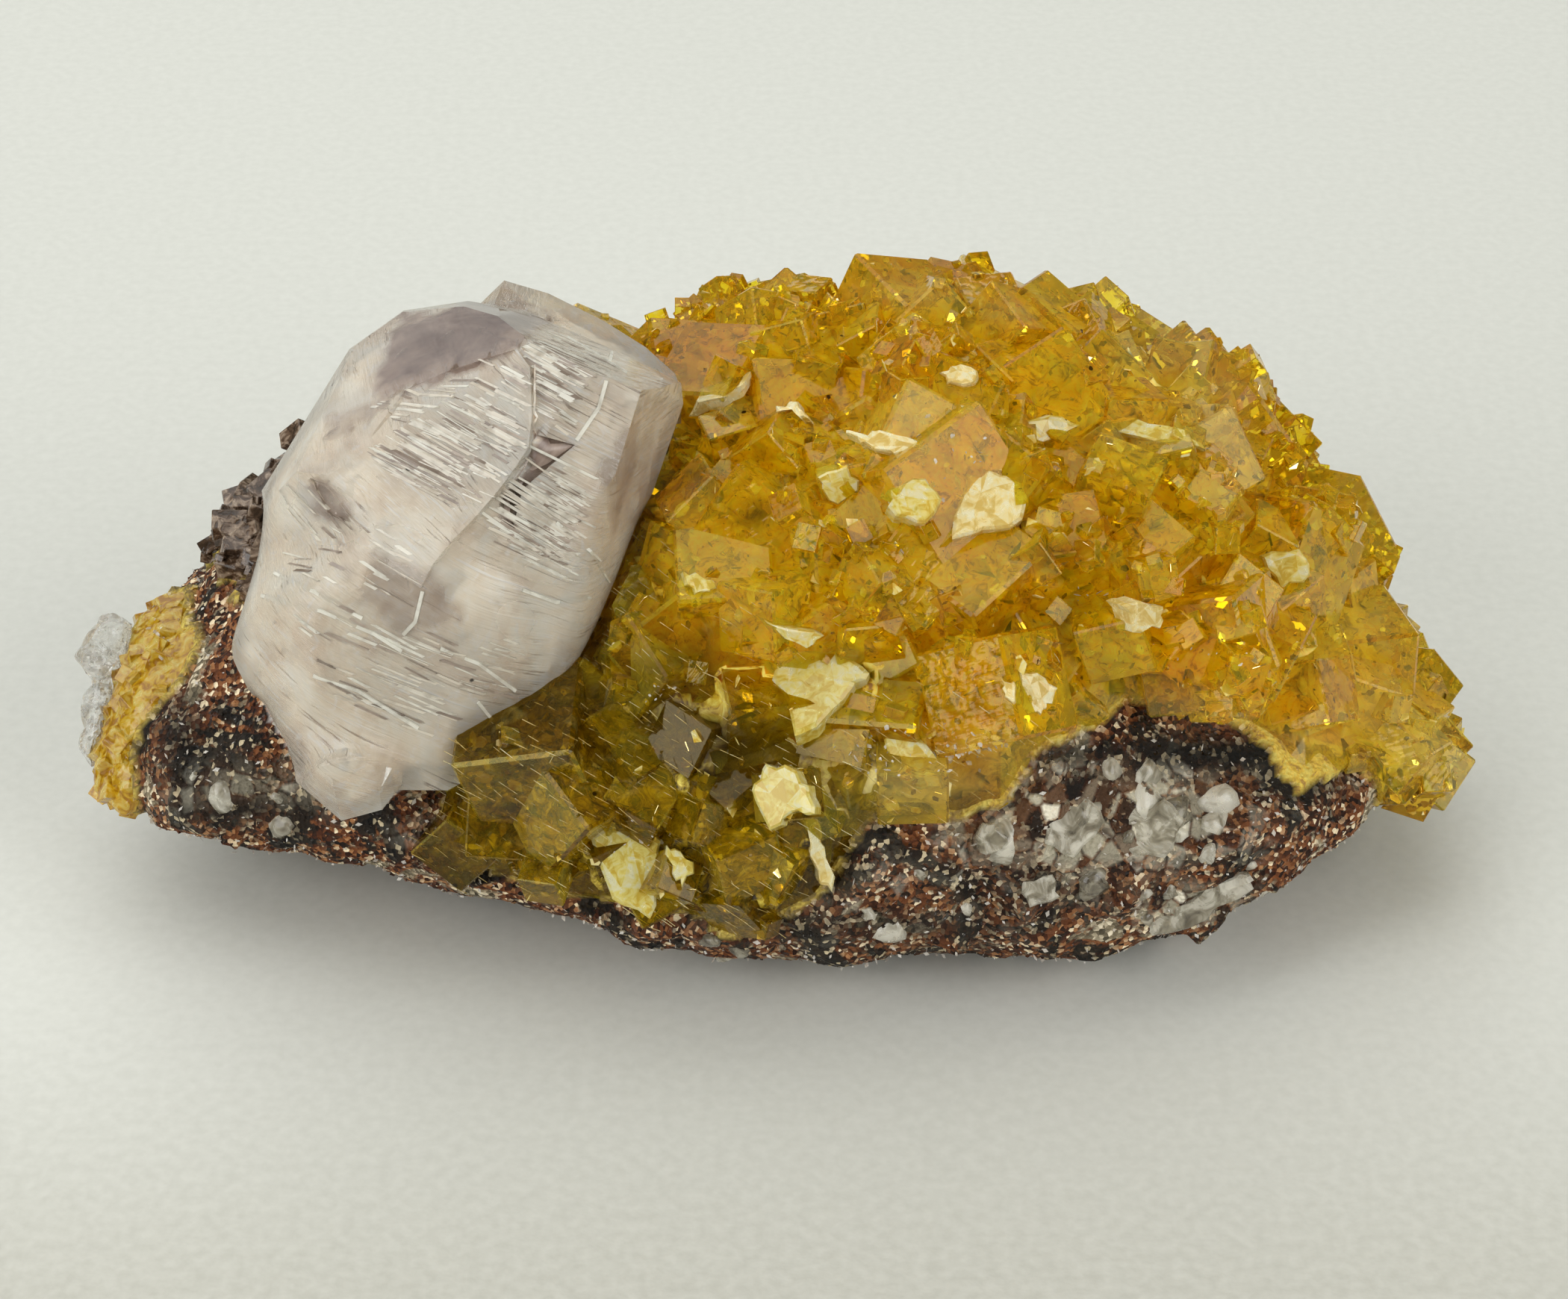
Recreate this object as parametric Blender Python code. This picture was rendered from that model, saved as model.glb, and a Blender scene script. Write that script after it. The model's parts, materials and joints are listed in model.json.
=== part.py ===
"""Calcite with fluorite: a hand specimen 120 mm wide that rests on a flat under its matrix.

Every shape is worked out in millimetres and scaled to metres when its object is made.
+X runs along the specimen, +Z is up, and -Y is the side that shows the large calcite.
The origin is on the resting flat, under the middle of the bounding box.
"""

import math
import random

import bmesh
import bpy
from mathutils import Euler, Matrix, Vector, noise

MM = 0.001
OBJECT_NAME = "calcite_with_fluorite"

# The specimen's outside in slices across X: x, then the front edge, the crest and the back edge as (y, z),
# and the height that the underside would reach if it weren't cut flat.
SLICES = (
    (-57.8, (-12.0, 12.0), (-8.5, 13.4), (-5.0, 12.0), 10.4),
    (-56.5, (-13.5, 10.8), (-5.0, 16.0), (2.5, 11.5), 8.8),
    (-55.0, (-14.5, 11.0), (-1.5, 21.0), (7.5, 11.0), 7.8),
    (-49.0, (-17.0, 12.8), (3.0, 24.0), (16.0, 10.0), 6.0),
    (-42.0, (-19.5, 13.5), (6.0, 29.0), (21.0, 9.5), 4.0),
    (-32.0, (-22.0, 13.5), (8.0, 34.0), (25.0, 9.0), 1.5),
    (-20.0, (-25.0, 12.5), (8.0, 37.0), (28.0, 8.5), -2.0),
    (-8.0, (-28.5, 11.8), (8.0, 40.5), (30.0, 8.5), -3.5),
    (4.0, (-29.5, 10.3), (7.0, 44.0), (31.0, 8.5), -4.0),
    (14.0, (-28.5, 9.4), (7.0, 45.5), (31.0, 8.5), -4.0),
    (24.0, (-28.0, 8.4), (6.0, 44.0), (30.0, 8.5), -4.0),
    (34.0, (-26.0, 8.4), (5.0, 41.0), (27.0, 9.0), -3.0),
    (41.0, (-23.0, 11.0), (4.5, 32.8), (24.0, 9.0), -0.5),
    (45.0, (-20.5, 12.5), (3.0, 28.6), (20.0, 9.5), 3.5),
    (50.0, (-16.5, 13.4), (1.0, 21.0), (15.0, 10.0), 7.0),
    (54.0, (-12.5, 12.0), (-1.0, 17.2), (10.0, 10.0), 8.4),
    (57.5, (-9.5, 10.6), (-3.0, 13.2), (4.0, 9.5), 8.4),
    (60.0, (-7.5, 10.8), (-5.0, 11.6), (-2.5, 10.6), 9.6),
)
UPPER_ROUNDNESS = 2.0
LOWER_ROUNDNESS = 1.7

RING_POINTS = 28
SLICE_STEP = 3.8
GAP = 0.3
WIDE_GAP = 0.5

# Where the matrix ends along X, short of the fluorite that closes both ends.
MATRIX_SPAN = (-55.5, 53.0)
MATRIX_LUMP_SIZE = 10.0
MATRIX_LUMP_HEIGHT = 1.5
MATRIX_GRIT_SIZE = 4.0
MATRIX_GRIT_HEIGHT = 0.7
OVERHANG_DEPTH = 3.2

CRUST_SPAN = (-33.0, 60.0)
CRUST_THICKNESS_TOP = 6.5
CRUST_THICKNESS_LOW = 4.5
CRUST_SHARE_AT_TIP = 0.26
LARGEST_INSET = 0.7
COAT_SINK = 1.6
CRUST_LEFT_X = -28.5
CRUST_BACK_ANGLE = 158.0
# The crust's lower front edge: x, and the angle round the slice at which the matrix shows below it.
CRUST_FRONT_EDGE = (
    (-33.0, -4.0),
    (-20.0, -4.0),
    (-8.0, -3.0),
    (1.0, -1.0),
    (6.0, 12.0),
    (12.0, 19.0),
    (22.0, 25.0),
    (29.0, 33.0),
    (39.0, 34.5),
    (45.0, 29.0),
    (51.0, 9.0),
    (56.0, -80.0),
    (60.0, -100.0),
)

LEFT_BAND_SPAN = (-57.8, -44.0)
LEFT_BAND_THICKNESS = 3.0
# The band's right edge: the angle round the slice, and x there.
LEFT_BAND_EDGE = (
    (-90.0, -54.5),
    (0.0, -53.6),
    (25.0, -52.8),
    (45.0, -50.4),
    (62.0, -47.2),
    (75.0, -47.8),
    (90.0, -50.0),
    (140.0, -52.5),
    (180.0, -55.0),
)

DRUSE_SPAN = (-54.0, -29.0)
DRUSE_ANGLES = (58.0, 138.0)
DRUSE_THICKNESS = 1.8
DRUSE_COUNT = 28
DRUSE_SIZE = (2.6, 4.4)
DRUSE_STRETCH = 1.35
DRUSE_SINK = 0.2

CUBE_COUNT = 136
CUBE_EDGE = (4.4, 8.4)
CUBE_EDGE_AT_RIM = 5.2
CUBE_SPACING = 0.46
CUBE_RISE = 0.18
CUBE_TILT_SPREAD = math.radians(24.0)
RIM_X = 40.0
RIM_ANGLE = 25.0
# Right of this x, cubes keep this many degrees above the crust's lower edge, and past RIM_X above this angle.
RIGHT_CUBES_X = 14.0
RIGHT_CUBES_CLEAR = 10.0
TIP_CUBES_FROM = 20.0

# Cubes that make the crust's outline from the front: corner (x, y, z) and edge length.
OUTLINE_CUBES = (
    ((-2.0, 10.0, 46.4), 6.0),
    ((3.4, 10.0, 46.4), 5.0),
    ((8.6, 10.0, 47.4), 6.5),
    ((15.2, 10.0, 48.3), 6.0),
    ((21.0, 10.0, 46.8), 6.0),
    ((30.4, 9.0, 45.0), 5.0),
    ((43.4, 6.0, 31.6), 5.0),
    ((47.2, 5.0, 26.5), 5.0),
    ((49.8, 4.0, 21.8), 5.0),
    ((54.1, 0.0, 20.3), 7.0),
    ((58.4, -4.6, 13.0), 4.5),
)
# The smooth pale mass at the upper right: middle and radii.
PALE_MASS = ((35.2, 8.0, 36.6), (5.2, 4.6, 6.2))

# The small pale crystal behind the right tip, and the clear lumps on the left tip.
RIGHT_CRYSTAL_MIDDLE = Vector((55.6, 3.4, 10.8))
RIGHT_CRYSTAL_EDGE = 5.6
RIGHT_CRYSTAL_TURN = Euler((0.5, 0.35, 0.6))
LEFT_LUMPS = (
    ((-57.2, -1.6, 19.2), (3.0, 3.2, 3.3)),
    ((-57.5, -5.0, 15.4), (2.0, 3.0, 2.8)),
    ((-57.9, -8.2, 14.0), (1.5, 2.2, 2.2)),
)

# Blocks that make ledges on the bare matrix: x, angle round the slice, and size.
MATRIX_BLOCKS = (
    (9.0, 4.0, 5.0),
    (15.0, -8.0, 5.5),
    (21.0, 6.0, 5.0),
    (27.0, -8.0, 6.0),
    (30.0, 8.0, 5.5),
    (36.0, -6.0, 6.0),
    (39.0, 12.0, 4.5),
    (43.0, -4.0, 4.5),
    (-36.0, 6.0, 5.0),
    (-43.0, 22.0, 4.5),
    (-46.0, 0.0, 4.5),
    (-50.0, 20.0, 4.0),
)
BLOCK_SINK = 0.50
# Broken flats on each lump, and how far from its middle they lie, of its radius.
LUMP_FLATS = 9
LUMP_FLAT_DEPTH = (0.62, 0.86)

# The large calcite stands in a frame of its own: u to the right, v up along its face and w out of it.
CALCITE_ORIGIN = Vector((-26.3, -11.0, 36.2))
CALCITE_LEAN = math.radians(48.0)
CALCITE_U = Vector((1.0, 0.0, 0.0))
CALCITE_V = Vector((0.0, math.cos(CALCITE_LEAN), math.sin(CALCITE_LEAN)))
CALCITE_W = CALCITE_U.cross(CALCITE_V)
CALCITE_BACK_W = -13.0
CALCITE_RIDGE_W = 12.5
# The edge between the two front faces, from its upper end to its lower end.
CALCITE_RIDGE = ((14.1, 13.8), (-0.6, -5.3))

# Each growth of the calcite: its outline as (u, v, slope of the facet above that side in degrees),
# the w of its widest part, and the slope of its facets at the back.
CALCITE_UPPER = (
    (9.8, -12.7, 20.0),
    (12.6, -8.0, 14.0),
    (19.2, 11.6, 14.0),
    (19.0, 13.6, 20.0),
    (14.8, 15.5, 16.0),
    (7.5, 19.2, 18.0),
    (1.5, 20.2, 18.0),
    (-3.8, 19.4, 16.0),
    (-8.2, 16.2, 22.0),
    (-15.2, 4.4, 18.0),
    (-15.4, -3.0, 44.0),
    (-8.0, -13.5, 46.0),
)
# The smooth face at the upper left: a point on its lower edge, and its normal.
CALCITE_TOP_FACE = ((-1.4, 8.3, 11.6), (-0.40, 0.56, 0.73))
CALCITE_LOWER = (
    (9.6, -12.4, 24.0),
    (11.8, -6.0, 30.0),
    (12.0, 3.0, 44.0),
    (7.0, 12.0, 46.0),
    (-7.0, 12.0, 40.0),
    (-13.8, 4.0, 20.0),
    (-18.6, -9.9, 30.0),
    (-17.0, -12.6, 42.0),
    (-14.4, -17.2, 48.0),
    (-11.4, -20.0, 52.0),
    (0.2, -20.1, 46.0),
    (3.4, -18.4, 40.0),
    (7.2, -15.2, 34.0),
)
CALCITE_TOE = (
    (-3.5, -16.0, 20.0),
    (-10.8, -16.0, 20.0),
    (-11.6, -19.8, 30.0),
    (-8.3, -22.6, 40.0),
    (-5.0, -21.7, 30.0),
    (-3.4, -19.6, 20.0),
)
CALCITE_SECOND = (
    (18.8, 9.0, 20.0),
    (18.9, 15.0, 30.0),
    (15.8, 17.8, 38.0),
    (12.2, 20.1, 38.0),
    (7.6, 22.4, 40.0),
    (3.9, 23.5, 25.0),
    (1.8, 21.4, 20.0),
    (0.5, 12.0, 20.0),
    (8.0, 7.0, 20.0),
)

MATRIX_COLOUR = (0.10, 0.055, 0.04)
FLUORITE_COLOUR = (0.72, 0.46, 0.04)
CALCITE_COLOUR = (0.78, 0.72, 0.69)
CLEAR_COLOUR = (0.82, 0.82, 0.78)
PALE_YELLOW_COLOUR = (0.85, 0.76, 0.42)
DRUSE_COLOUR = (0.16, 0.10, 0.07)


def smooth_step(value):
    """0 below 0, 1 above 1, and a smooth rise between."""
    value = min(max(value, 0.0), 1.0)
    return value * value * (3.0 - 2.0 * value)


def through(points, x):
    """The height at x of a smooth curve through (x, height) points, level beyond its ends."""
    if x <= points[0][0]:
        return points[0][1]
    if x >= points[-1][0]:
        return points[-1][1]
    last = len(points) - 1
    i = max(k for k in range(last) if points[k][0] <= x)

    def slope(k):
        low, high = max(k - 1, 0), min(k + 1, last)
        return (points[high][1] - points[low][1]) / (points[high][0] - points[low][0])

    (x0, y0), (x1, y1) = points[i], points[i + 1]
    width = x1 - x0
    t = (x - x0) / width
    start = (2 * t**3 - 3 * t**2 + 1) * y0 + (t**3 - 2 * t**2 + t) * width * slope(i)
    end = (-2 * t**3 + 3 * t**2) * y1 + (t**3 - t**2) * width * slope(i + 1)
    return start + end


def slice_value(x, pick):
    return through([(s[0], pick(s)) for s in SLICES], x)


def outside_point(x, angle):
    """A point on the specimen's smooth outside: 0 degrees at the front edge, 90 at the crest, 180 at the back."""
    front = [slice_value(x, lambda s, k=k: s[1][k]) for k in (0, 1)]
    crest = [slice_value(x, lambda s, k=k: s[2][k]) for k in (0, 1)]
    back = [slice_value(x, lambda s, k=k: s[3][k]) for k in (0, 1)]
    under = slice_value(x, lambda s: s[4])
    angle %= 360.0
    turn = math.radians(angle)
    upper = angle <= 180.0
    power = 2.0 / (UPPER_ROUNDNESS if upper else LOWER_ROUNDNESS)
    across = abs(math.cos(turn)) ** power
    along = abs(math.sin(turn)) ** power
    edge = back if 90.0 < angle < 270.0 else front
    middle_y = crest[0] if upper else (front[0] + back[0]) / 2.0
    peak_z = crest[1] if upper else under
    y = middle_y + (edge[0] - middle_y) * across
    z = edge[1] + (peak_z - edge[1]) * along
    return Vector((x, y, z))


def outside_normal(x, angle):
    x = min(max(x, SLICES[0][0] + 0.6), SLICES[-1][0] - 0.6)
    along = outside_point(x + 0.5, angle) - outside_point(x - 0.5, angle)
    around = outside_point(x, angle + 2.0) - outside_point(x, angle - 2.0)
    return along.cross(around).normalized()


def moved_out(x, angle, distance):
    """The outside point moved this far from the middle of its slice, or towards it. Rings never cross so."""
    point = outside_point(x, angle)
    middle_y = slice_value(x, lambda s: (s[1][0] + s[3][0]) / 2.0)
    middle_z = slice_value(x, lambda s: (s[2][1] + s[4]) / 2.0)
    spoke = point - Vector((x, middle_y, middle_z))
    return point + spoke.normalized() * max(distance, -LARGEST_INSET * spoke.length)


def roughness(point, size, height, seed):
    """Smooth random lumps of about this size, at most this high."""
    return height * noise.fractal(point / size + Vector((seed, 0.0, 0.0)), 0.9, 2.1, 2)


def above_underside(angle):
    """The same angle, counted from -100 under the front edge, so that the front and the top run on."""
    return (angle + 100.0) % 360.0 - 100.0


def crust_cover(x, angle):
    """How fully the main crust covers the matrix here, from 0 to 1."""
    angle = above_underside(angle)
    front_edge = through(CRUST_FRONT_EDGE, x) + 2.5 * noise.noise(Vector((x / 7.0, 3.1, 0.0)))
    back_edge = CRUST_BACK_ANGLE + 9.0 * noise.noise(Vector((x / 11.0, 8.7, 0.0)))
    back_edge += 300.0 * smooth_step((x - 50.0) / 6.0)
    left_edge = CRUST_LEFT_X + 3.0 * noise.noise(Vector((angle / 20.0, 5.2, 0.0)))
    left_edge += 8.0 * smooth_step((angle - 60.0) / 40.0)
    from_front = smooth_step((angle - front_edge) / 5.0)
    from_back = smooth_step((back_edge - angle) / 8.0)
    from_left = smooth_step((x - left_edge) / 4.0)
    return from_front * from_back * from_left


def crust_thickness(x, angle):
    rise = smooth_step(above_underside(angle) / 50.0)
    full = CRUST_THICKNESS_LOW + (CRUST_THICKNESS_TOP - CRUST_THICKNESS_LOW) * rise
    height = slice_value(x, lambda s: s[2][1] - s[4])
    return min(full, CRUST_SHARE_AT_TIP * height)


def left_band_cover(x, angle):
    angle = above_underside(angle)
    edge = through(LEFT_BAND_EDGE, angle) + 0.7 * noise.noise(Vector((angle / 14.0, 1.7, 0.0)))
    return smooth_step((edge - x) / 2.0)


def druse_cover(x, angle):
    low, high = DRUSE_ANGLES
    low += 8.0 * noise.noise(Vector((x / 6.0, 0.4, 0.0)))
    across = smooth_step((angle - low) / 8.0) * smooth_step((high - angle) / 10.0)
    start = through(LEFT_BAND_EDGE, angle) + 1.6
    return across * smooth_step((x - start) / 2.5) * smooth_step((DRUSE_SPAN[1] - 2.0 - x) / 4.0)


def overhang(x, angle):
    """How far the matrix is hollowed under the right end of the crust."""
    along = smooth_step((x - 22.0) / 10.0) * smooth_step((53.0 - x) / 6.0)
    below = through(CRUST_FRONT_EDGE, min(x, 50.0)) - above_underside(angle)
    return OVERHANG_DEPTH * along * smooth_step(below / 3.0) * smooth_step((16.0 - below) / 8.0)


def matrix_relief(point):
    lumps = roughness(point, MATRIX_LUMP_SIZE, MATRIX_LUMP_HEIGHT, 2.0)
    return lumps + roughness(point, MATRIX_GRIT_SIZE, MATRIX_GRIT_HEIGHT, 9.0)


def matrix_point(x, angle, extra=0.0):
    inset = crust_cover(x, angle) * crust_thickness(x, angle)
    inset += left_band_cover(x, angle) * LEFT_BAND_THICKNESS + overhang(x, angle)
    inset += druse_cover(x, angle) * DRUSE_THICKNESS
    return moved_out(x, angle, matrix_relief(outside_point(x, angle)) - inset + extra)


def coat_point(x, angle, cover, raised, extra=0.0):
    """A coat's outer surface where it covers the matrix, and a place inside the matrix where it doesn't."""
    sunk = matrix_relief(outside_point(x, angle)) - COAT_SINK - overhang(x, angle)
    return moved_out(x, angle, cover * (raised + extra) + (1.0 - cover) * sunk)


def crust_point(x, angle):
    raised = roughness(outside_point(x, angle), 7.0, 1.1, 21.0)
    return coat_point(x, angle, crust_cover(x, angle), raised)


def left_band_point(x, angle, extra=0.0):
    raised = roughness(outside_point(x, angle), 5.0, 0.8, 33.0)
    return coat_point(x, angle, left_band_cover(x, angle), raised, extra)


def druse_point(x, angle):
    raised = roughness(outside_point(x, angle), 4.0, 0.8, 47.0)
    return coat_point(x, angle, druse_cover(x, angle), raised)


def loft(point_at, span, ring_points=RING_POINTS, step=SLICE_STEP, beyond=0.0):
    """A closed mesh through rings of points across X, its two end rings moved out by beyond and filled."""
    count = max(2, round((span[1] - span[0]) / step) + 1)
    bm = bmesh.new()
    rings = []
    for i in range(count):
        x = span[0] + (span[1] - span[0]) * i / (count - 1)
        angles = [360.0 * k / ring_points for k in range(ring_points)]
        rings.append([bm.verts.new(point_at(x, angle)) for angle in angles])
    for ring, shift in ((rings[0], -beyond), (rings[-1], beyond)):
        for vertex in ring:
            vertex.co.x += shift
    for first, second in zip(rings, rings[1:]):
        for k in range(ring_points):
            n = (k + 1) % ring_points
            bm.faces.new((first[k], second[k], second[n]))
            bm.faces.new((first[k], second[n], first[n]))
    bm.faces.new(rings[0])
    bm.faces.new(list(reversed(rings[-1])))
    return bm


def cut_flat(bm, point, normal):
    """Cuts away what lies beyond a plane and closes the cut."""
    geometry = bm.verts[:] + bm.edges[:] + bm.faces[:]
    result = bmesh.ops.bisect_plane(
        bm, geom=geometry, plane_co=point, plane_no=normal, clear_outer=True
    )
    rim = [item for item in result["geom_cut"] if isinstance(item, bmesh.types.BMEdge)]
    if rim:
        bmesh.ops.contextual_create(bm, geom=rim)


def in_calcite_frame(u, v, w):
    return CALCITE_ORIGIN + CALCITE_U * u + CALCITE_V * v + CALCITE_W * w


def calcite_direction(u, v, w):
    return (CALCITE_U * u + CALCITE_V * v + CALCITE_W * w).normalized()


def calcite_growth(outline, widest_w, back_slope, front_faces, back_w, extra=0.0):
    """One convex growth of the calcite: a block cut by a facet above and below each side of its outline."""
    bm = bmesh.new()
    middle = in_calcite_frame(0.0, 0.0, 0.0)
    bmesh.ops.create_cube(bm, size=120.0, matrix=Matrix.Translation(middle))
    planes = [((0.0, 0.0, back_w), (0.0, 0.0, -1.0))]
    planes += front_faces
    for i, (u, v, slope) in enumerate(outline):
        next_u, next_v, _ = outline[(i + 1) % len(outline)]
        length = math.hypot(next_u - u, next_v - v)
        out_u, out_v = (next_v - v) / length, (u - next_u) / length
        for angle in (math.radians(slope), -math.radians(back_slope)):
            normal = (out_u * math.cos(angle), out_v * math.cos(angle), math.sin(angle))
            planes.append(((u, v, widest_w), normal))
    for point, normal in planes:
        direction = calcite_direction(*normal)
        cut_flat(bm, in_calcite_frame(*point) + direction * extra, direction)
    return bm


def calcite_growths(extra=0.0):
    """The calcite's growths as meshes, each facet moved out by extra."""
    (top_u, top_v), (low_u, low_v) = CALCITE_RIDGE
    length = math.hypot(top_u - low_u, top_v - low_v)
    right_u, right_v = (top_v - low_v) / length, (low_u - top_u) / length

    def leaning(degrees):
        angle = math.radians(degrees)
        return (right_u * math.sin(angle), right_v * math.sin(angle), math.cos(angle))

    ridge = (low_u, low_v, CALCITE_RIDGE_W)
    upper_faces = [(ridge, leaning(-7.0)), (ridge, leaning(17.0)), CALCITE_TOP_FACE]
    upper = calcite_growth(CALCITE_UPPER, 1.0, 24.0, upper_faces, CALCITE_BACK_W, extra)
    lower_faces = [
        ((-4.0, -6.0, 11.0), (-0.05, -0.10, 1.0)),
        ((4.0, -10.0, 10.0), (0.30, -0.16, 1.0)),
    ]
    lower = calcite_growth(CALCITE_LOWER, 0.5, 26.0, lower_faces, CALCITE_BACK_W, extra)
    toe = calcite_growth(CALCITE_TOE, 1.0, 20.0, [((-7.5, -19.0, 6.0), (0.0, -0.3, 1.0))], -6.0, extra)
    second = calcite_growth(CALCITE_SECOND, -6.0, 20.0, [((12.0, 17.0, 0.5), (0.2, 0.25, 1.0))], -13.5, extra)
    return [upper, lower, toe, second]


def turned_cube(size, centre, turn, stretch=1.0):
    """A cube with one corner along the turn's Z, stretched along that corner's axis as a calcite rhomb is."""
    corner_up = Vector((1.0, 1.0, 1.0)).rotation_difference(Vector((0.0, 0.0, 1.0)))
    stretched = Matrix.Diagonal((1.0, 1.0, stretch, 1.0)) @ corner_up.to_matrix().to_4x4()
    bm = bmesh.new()
    bmesh.ops.create_cube(bm, size=size, matrix=Matrix.Translation(centre) @ turn.to_4x4() @ stretched)
    return bm


def turn_towards(direction, spin):
    """A rotation that takes Z to the direction, after a spin about Z."""
    return direction.to_track_quat("Z", "Y").to_matrix() @ Matrix.Rotation(spin, 3, "Z")


def lump(middle, radii, seed):
    """A rounded lump with flats broken into it."""
    rng = random.Random(seed)
    bm = bmesh.new()
    bmesh.ops.create_icosphere(bm, subdivisions=2, radius=1.0)
    for _ in range(LUMP_FLATS):
        normal = Vector([rng.gauss(0.0, 1.0) for _ in range(3)]).normalized()
        cut_flat(bm, normal * rng.uniform(*LUMP_FLAT_DEPTH), normal)
    for vertex in bm.verts:
        vertex.co = Vector([m + r * c for m, r, c in zip(middle, radii, vertex.co)])
    return bm


def material(name, colour, roughness_value):
    made = bpy.data.materials.new(name)
    made.use_nodes = True
    shader = made.node_tree.nodes["Principled BSDF"]
    shader.inputs["Base Color"].default_value = (*colour, 1.0)
    shader.inputs["Roughness"].default_value = roughness_value
    shader.inputs["Metallic"].default_value = 0.0
    made.diffuse_color = (*colour, 1.0)
    return made


def object_from(bm, name, collection, surface=None):
    """Scales the mesh to metres and links it as an object."""
    bmesh.ops.scale(bm, vec=(MM, MM, MM), verts=bm.verts)
    mesh = bpy.data.meshes.new(name)
    bm.to_mesh(mesh)
    bm.free()
    made = bpy.data.objects.new(name, mesh)
    if surface:
        mesh.materials.append(surface)
    else:
        made.hide_render = True
        made.display_type = "WIRE"
    collection.objects.link(made)
    return made


def helper_group(name, meshes, cutters):
    """A collection of hidden solids that one Boolean joins or cuts with."""
    group = bpy.data.collections.new(name)
    cutters.children.link(group)
    for index, bm in enumerate(meshes):
        object_from(bm, f"{name}_{index + 1:03d}", group)
    return group


def boolean(target, operation, operand, solver="EXACT"):
    modifier = target.modifiers.new(operation.title(), "BOOLEAN")
    modifier.operation = operation
    modifier.solver = solver
    if isinstance(operand, bpy.types.Collection):
        modifier.operand_type = "COLLECTION"
        modifier.collection = operand
    else:
        modifier.object = operand


def keep_largest_body(bm):
    """Removes the chips that a cut leaves apart from the main body."""
    unseen = set(bm.verts)
    bodies = []
    while unseen:
        waiting = [unseen.pop()]
        body = set(waiting)
        while waiting:
            for edge in waiting.pop().link_edges:
                for vertex in edge.verts:
                    if vertex in unseen:
                        unseen.discard(vertex)
                        body.add(vertex)
                        waiting.append(vertex)
        bodies.append(body)
    bodies.sort(key=len)
    for body in bodies[:-1]:
        bmesh.ops.delete(bm, geom=list(body), context="VERTS")


def settle(target):
    """Makes the modifiers' result the object's own mesh, one closed body."""
    graph = bpy.context.evaluated_depsgraph_get()
    mesh = bpy.data.meshes.new_from_object(target.evaluated_get(graph))
    target.modifiers.clear()
    bm = bmesh.new()
    bm.from_mesh(mesh)
    keep_largest_body(bm)
    bm.to_mesh(mesh)
    bm.free()
    mesh.name = target.name
    target.data = mesh


def scattered(rng, count, xs, angles, edges, spacing, accepts):
    """Random places on the outside, as (x, angle, edge), no two of them too close for their size."""
    placed = []
    for _ in range(20000):
        if len(placed) == count:
            break
        x, angle, edge = rng.uniform(*xs), rng.uniform(*angles), rng.uniform(*edges)
        point = outside_point(x, angle)
        if not accepts(x, angle):
            continue
        if any((point - other).length < spacing * (edge + size) for other, size, _, _ in placed):
            continue
        placed.append((point, edge, x, angle))
    return [(x, angle, edge) for _, edge, x, angle in placed]


def carries_a_cube(x, angle):
    """Whether the crust is whole here, and a cube would stay clear of its lower edge at the right."""
    lowest = through(CRUST_FRONT_EDGE, x) + RIGHT_CUBES_CLEAR if x > RIGHT_CUBES_X else -90.0
    if x > RIM_X:
        lowest = max(lowest, TIP_CUBES_FROM)
    return crust_cover(x, angle) > 0.8 and angle > lowest


def crust_cubes(rng):
    """Cubes over the crust, a corner or an edge of each standing out of it."""
    meshes = []
    xs = (CRUST_LEFT_X, SLICES[-1][0] - 3.5)
    places = scattered(rng, CUBE_COUNT, xs, (-4.0, 165.0), CUBE_EDGE, CUBE_SPACING, carries_a_cube)
    for x, angle, edge in places:
        normal = outside_normal(x, angle)
        if x > RIM_X or angle < RIM_ANGLE:
            edge = min(edge, CUBE_EDGE_AT_RIM)
        centre = crust_point(x, angle) - normal * edge * (0.5 - CUBE_RISE)
        tilt = Euler([rng.gauss(0.0, CUBE_TILT_SPREAD) for _ in range(3)]).to_matrix()
        meshes.append(turned_cube(edge, centre, tilt @ turn_towards(normal, rng.uniform(0.0, math.tau))))
    return meshes


def outline_cubes(rng):
    """The cubes whose corners make the crust's outline."""
    meshes = []
    for corner, edge in OUTLINE_CUBES:
        corner = Vector(corner)
        outward = (corner - Vector((corner.x * 0.75, 2.0, 20.0))).normalized()
        centre = corner - outward * edge * math.sqrt(3.0) / 2.0
        meshes.append(turned_cube(edge, centre, turn_towards(outward, rng.uniform(0.0, math.tau))))
    return meshes


def druse_crystals(rng):
    meshes = []
    places = scattered(
        rng, DRUSE_COUNT, DRUSE_SPAN, DRUSE_ANGLES, DRUSE_SIZE, 0.5, lambda x, a: druse_cover(x, a) > 0.6
    )
    for x, angle, edge in places:
        normal = outside_normal(x, angle)
        tilt = Euler([rng.gauss(0.0, CUBE_TILT_SPREAD) for _ in range(3)]).to_matrix()
        turn = tilt @ turn_towards(normal, rng.uniform(0.0, math.tau))
        middle = druse_point(x, angle) - normal * edge * DRUSE_SINK
        meshes.append(turned_cube(edge, middle, turn, DRUSE_STRETCH))
    return meshes


def matrix_blocks(rng):
    meshes = []
    for x, angle, size in MATRIX_BLOCKS:
        centre = matrix_point(x, angle) - outside_normal(x, angle) * size * BLOCK_SINK
        turn = Euler([rng.uniform(0.0, math.tau) for _ in range(3)]).to_matrix()
        meshes.append(turned_cube(size, centre, turn, 0.8))
    return meshes


def right_crystal(extra=0.0):
    turn = RIGHT_CRYSTAL_TURN.to_matrix()
    return turned_cube(RIGHT_CRYSTAL_EDGE + 2.0 * extra, RIGHT_CRYSTAL_MIDDLE, turn, 1.1)


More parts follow.
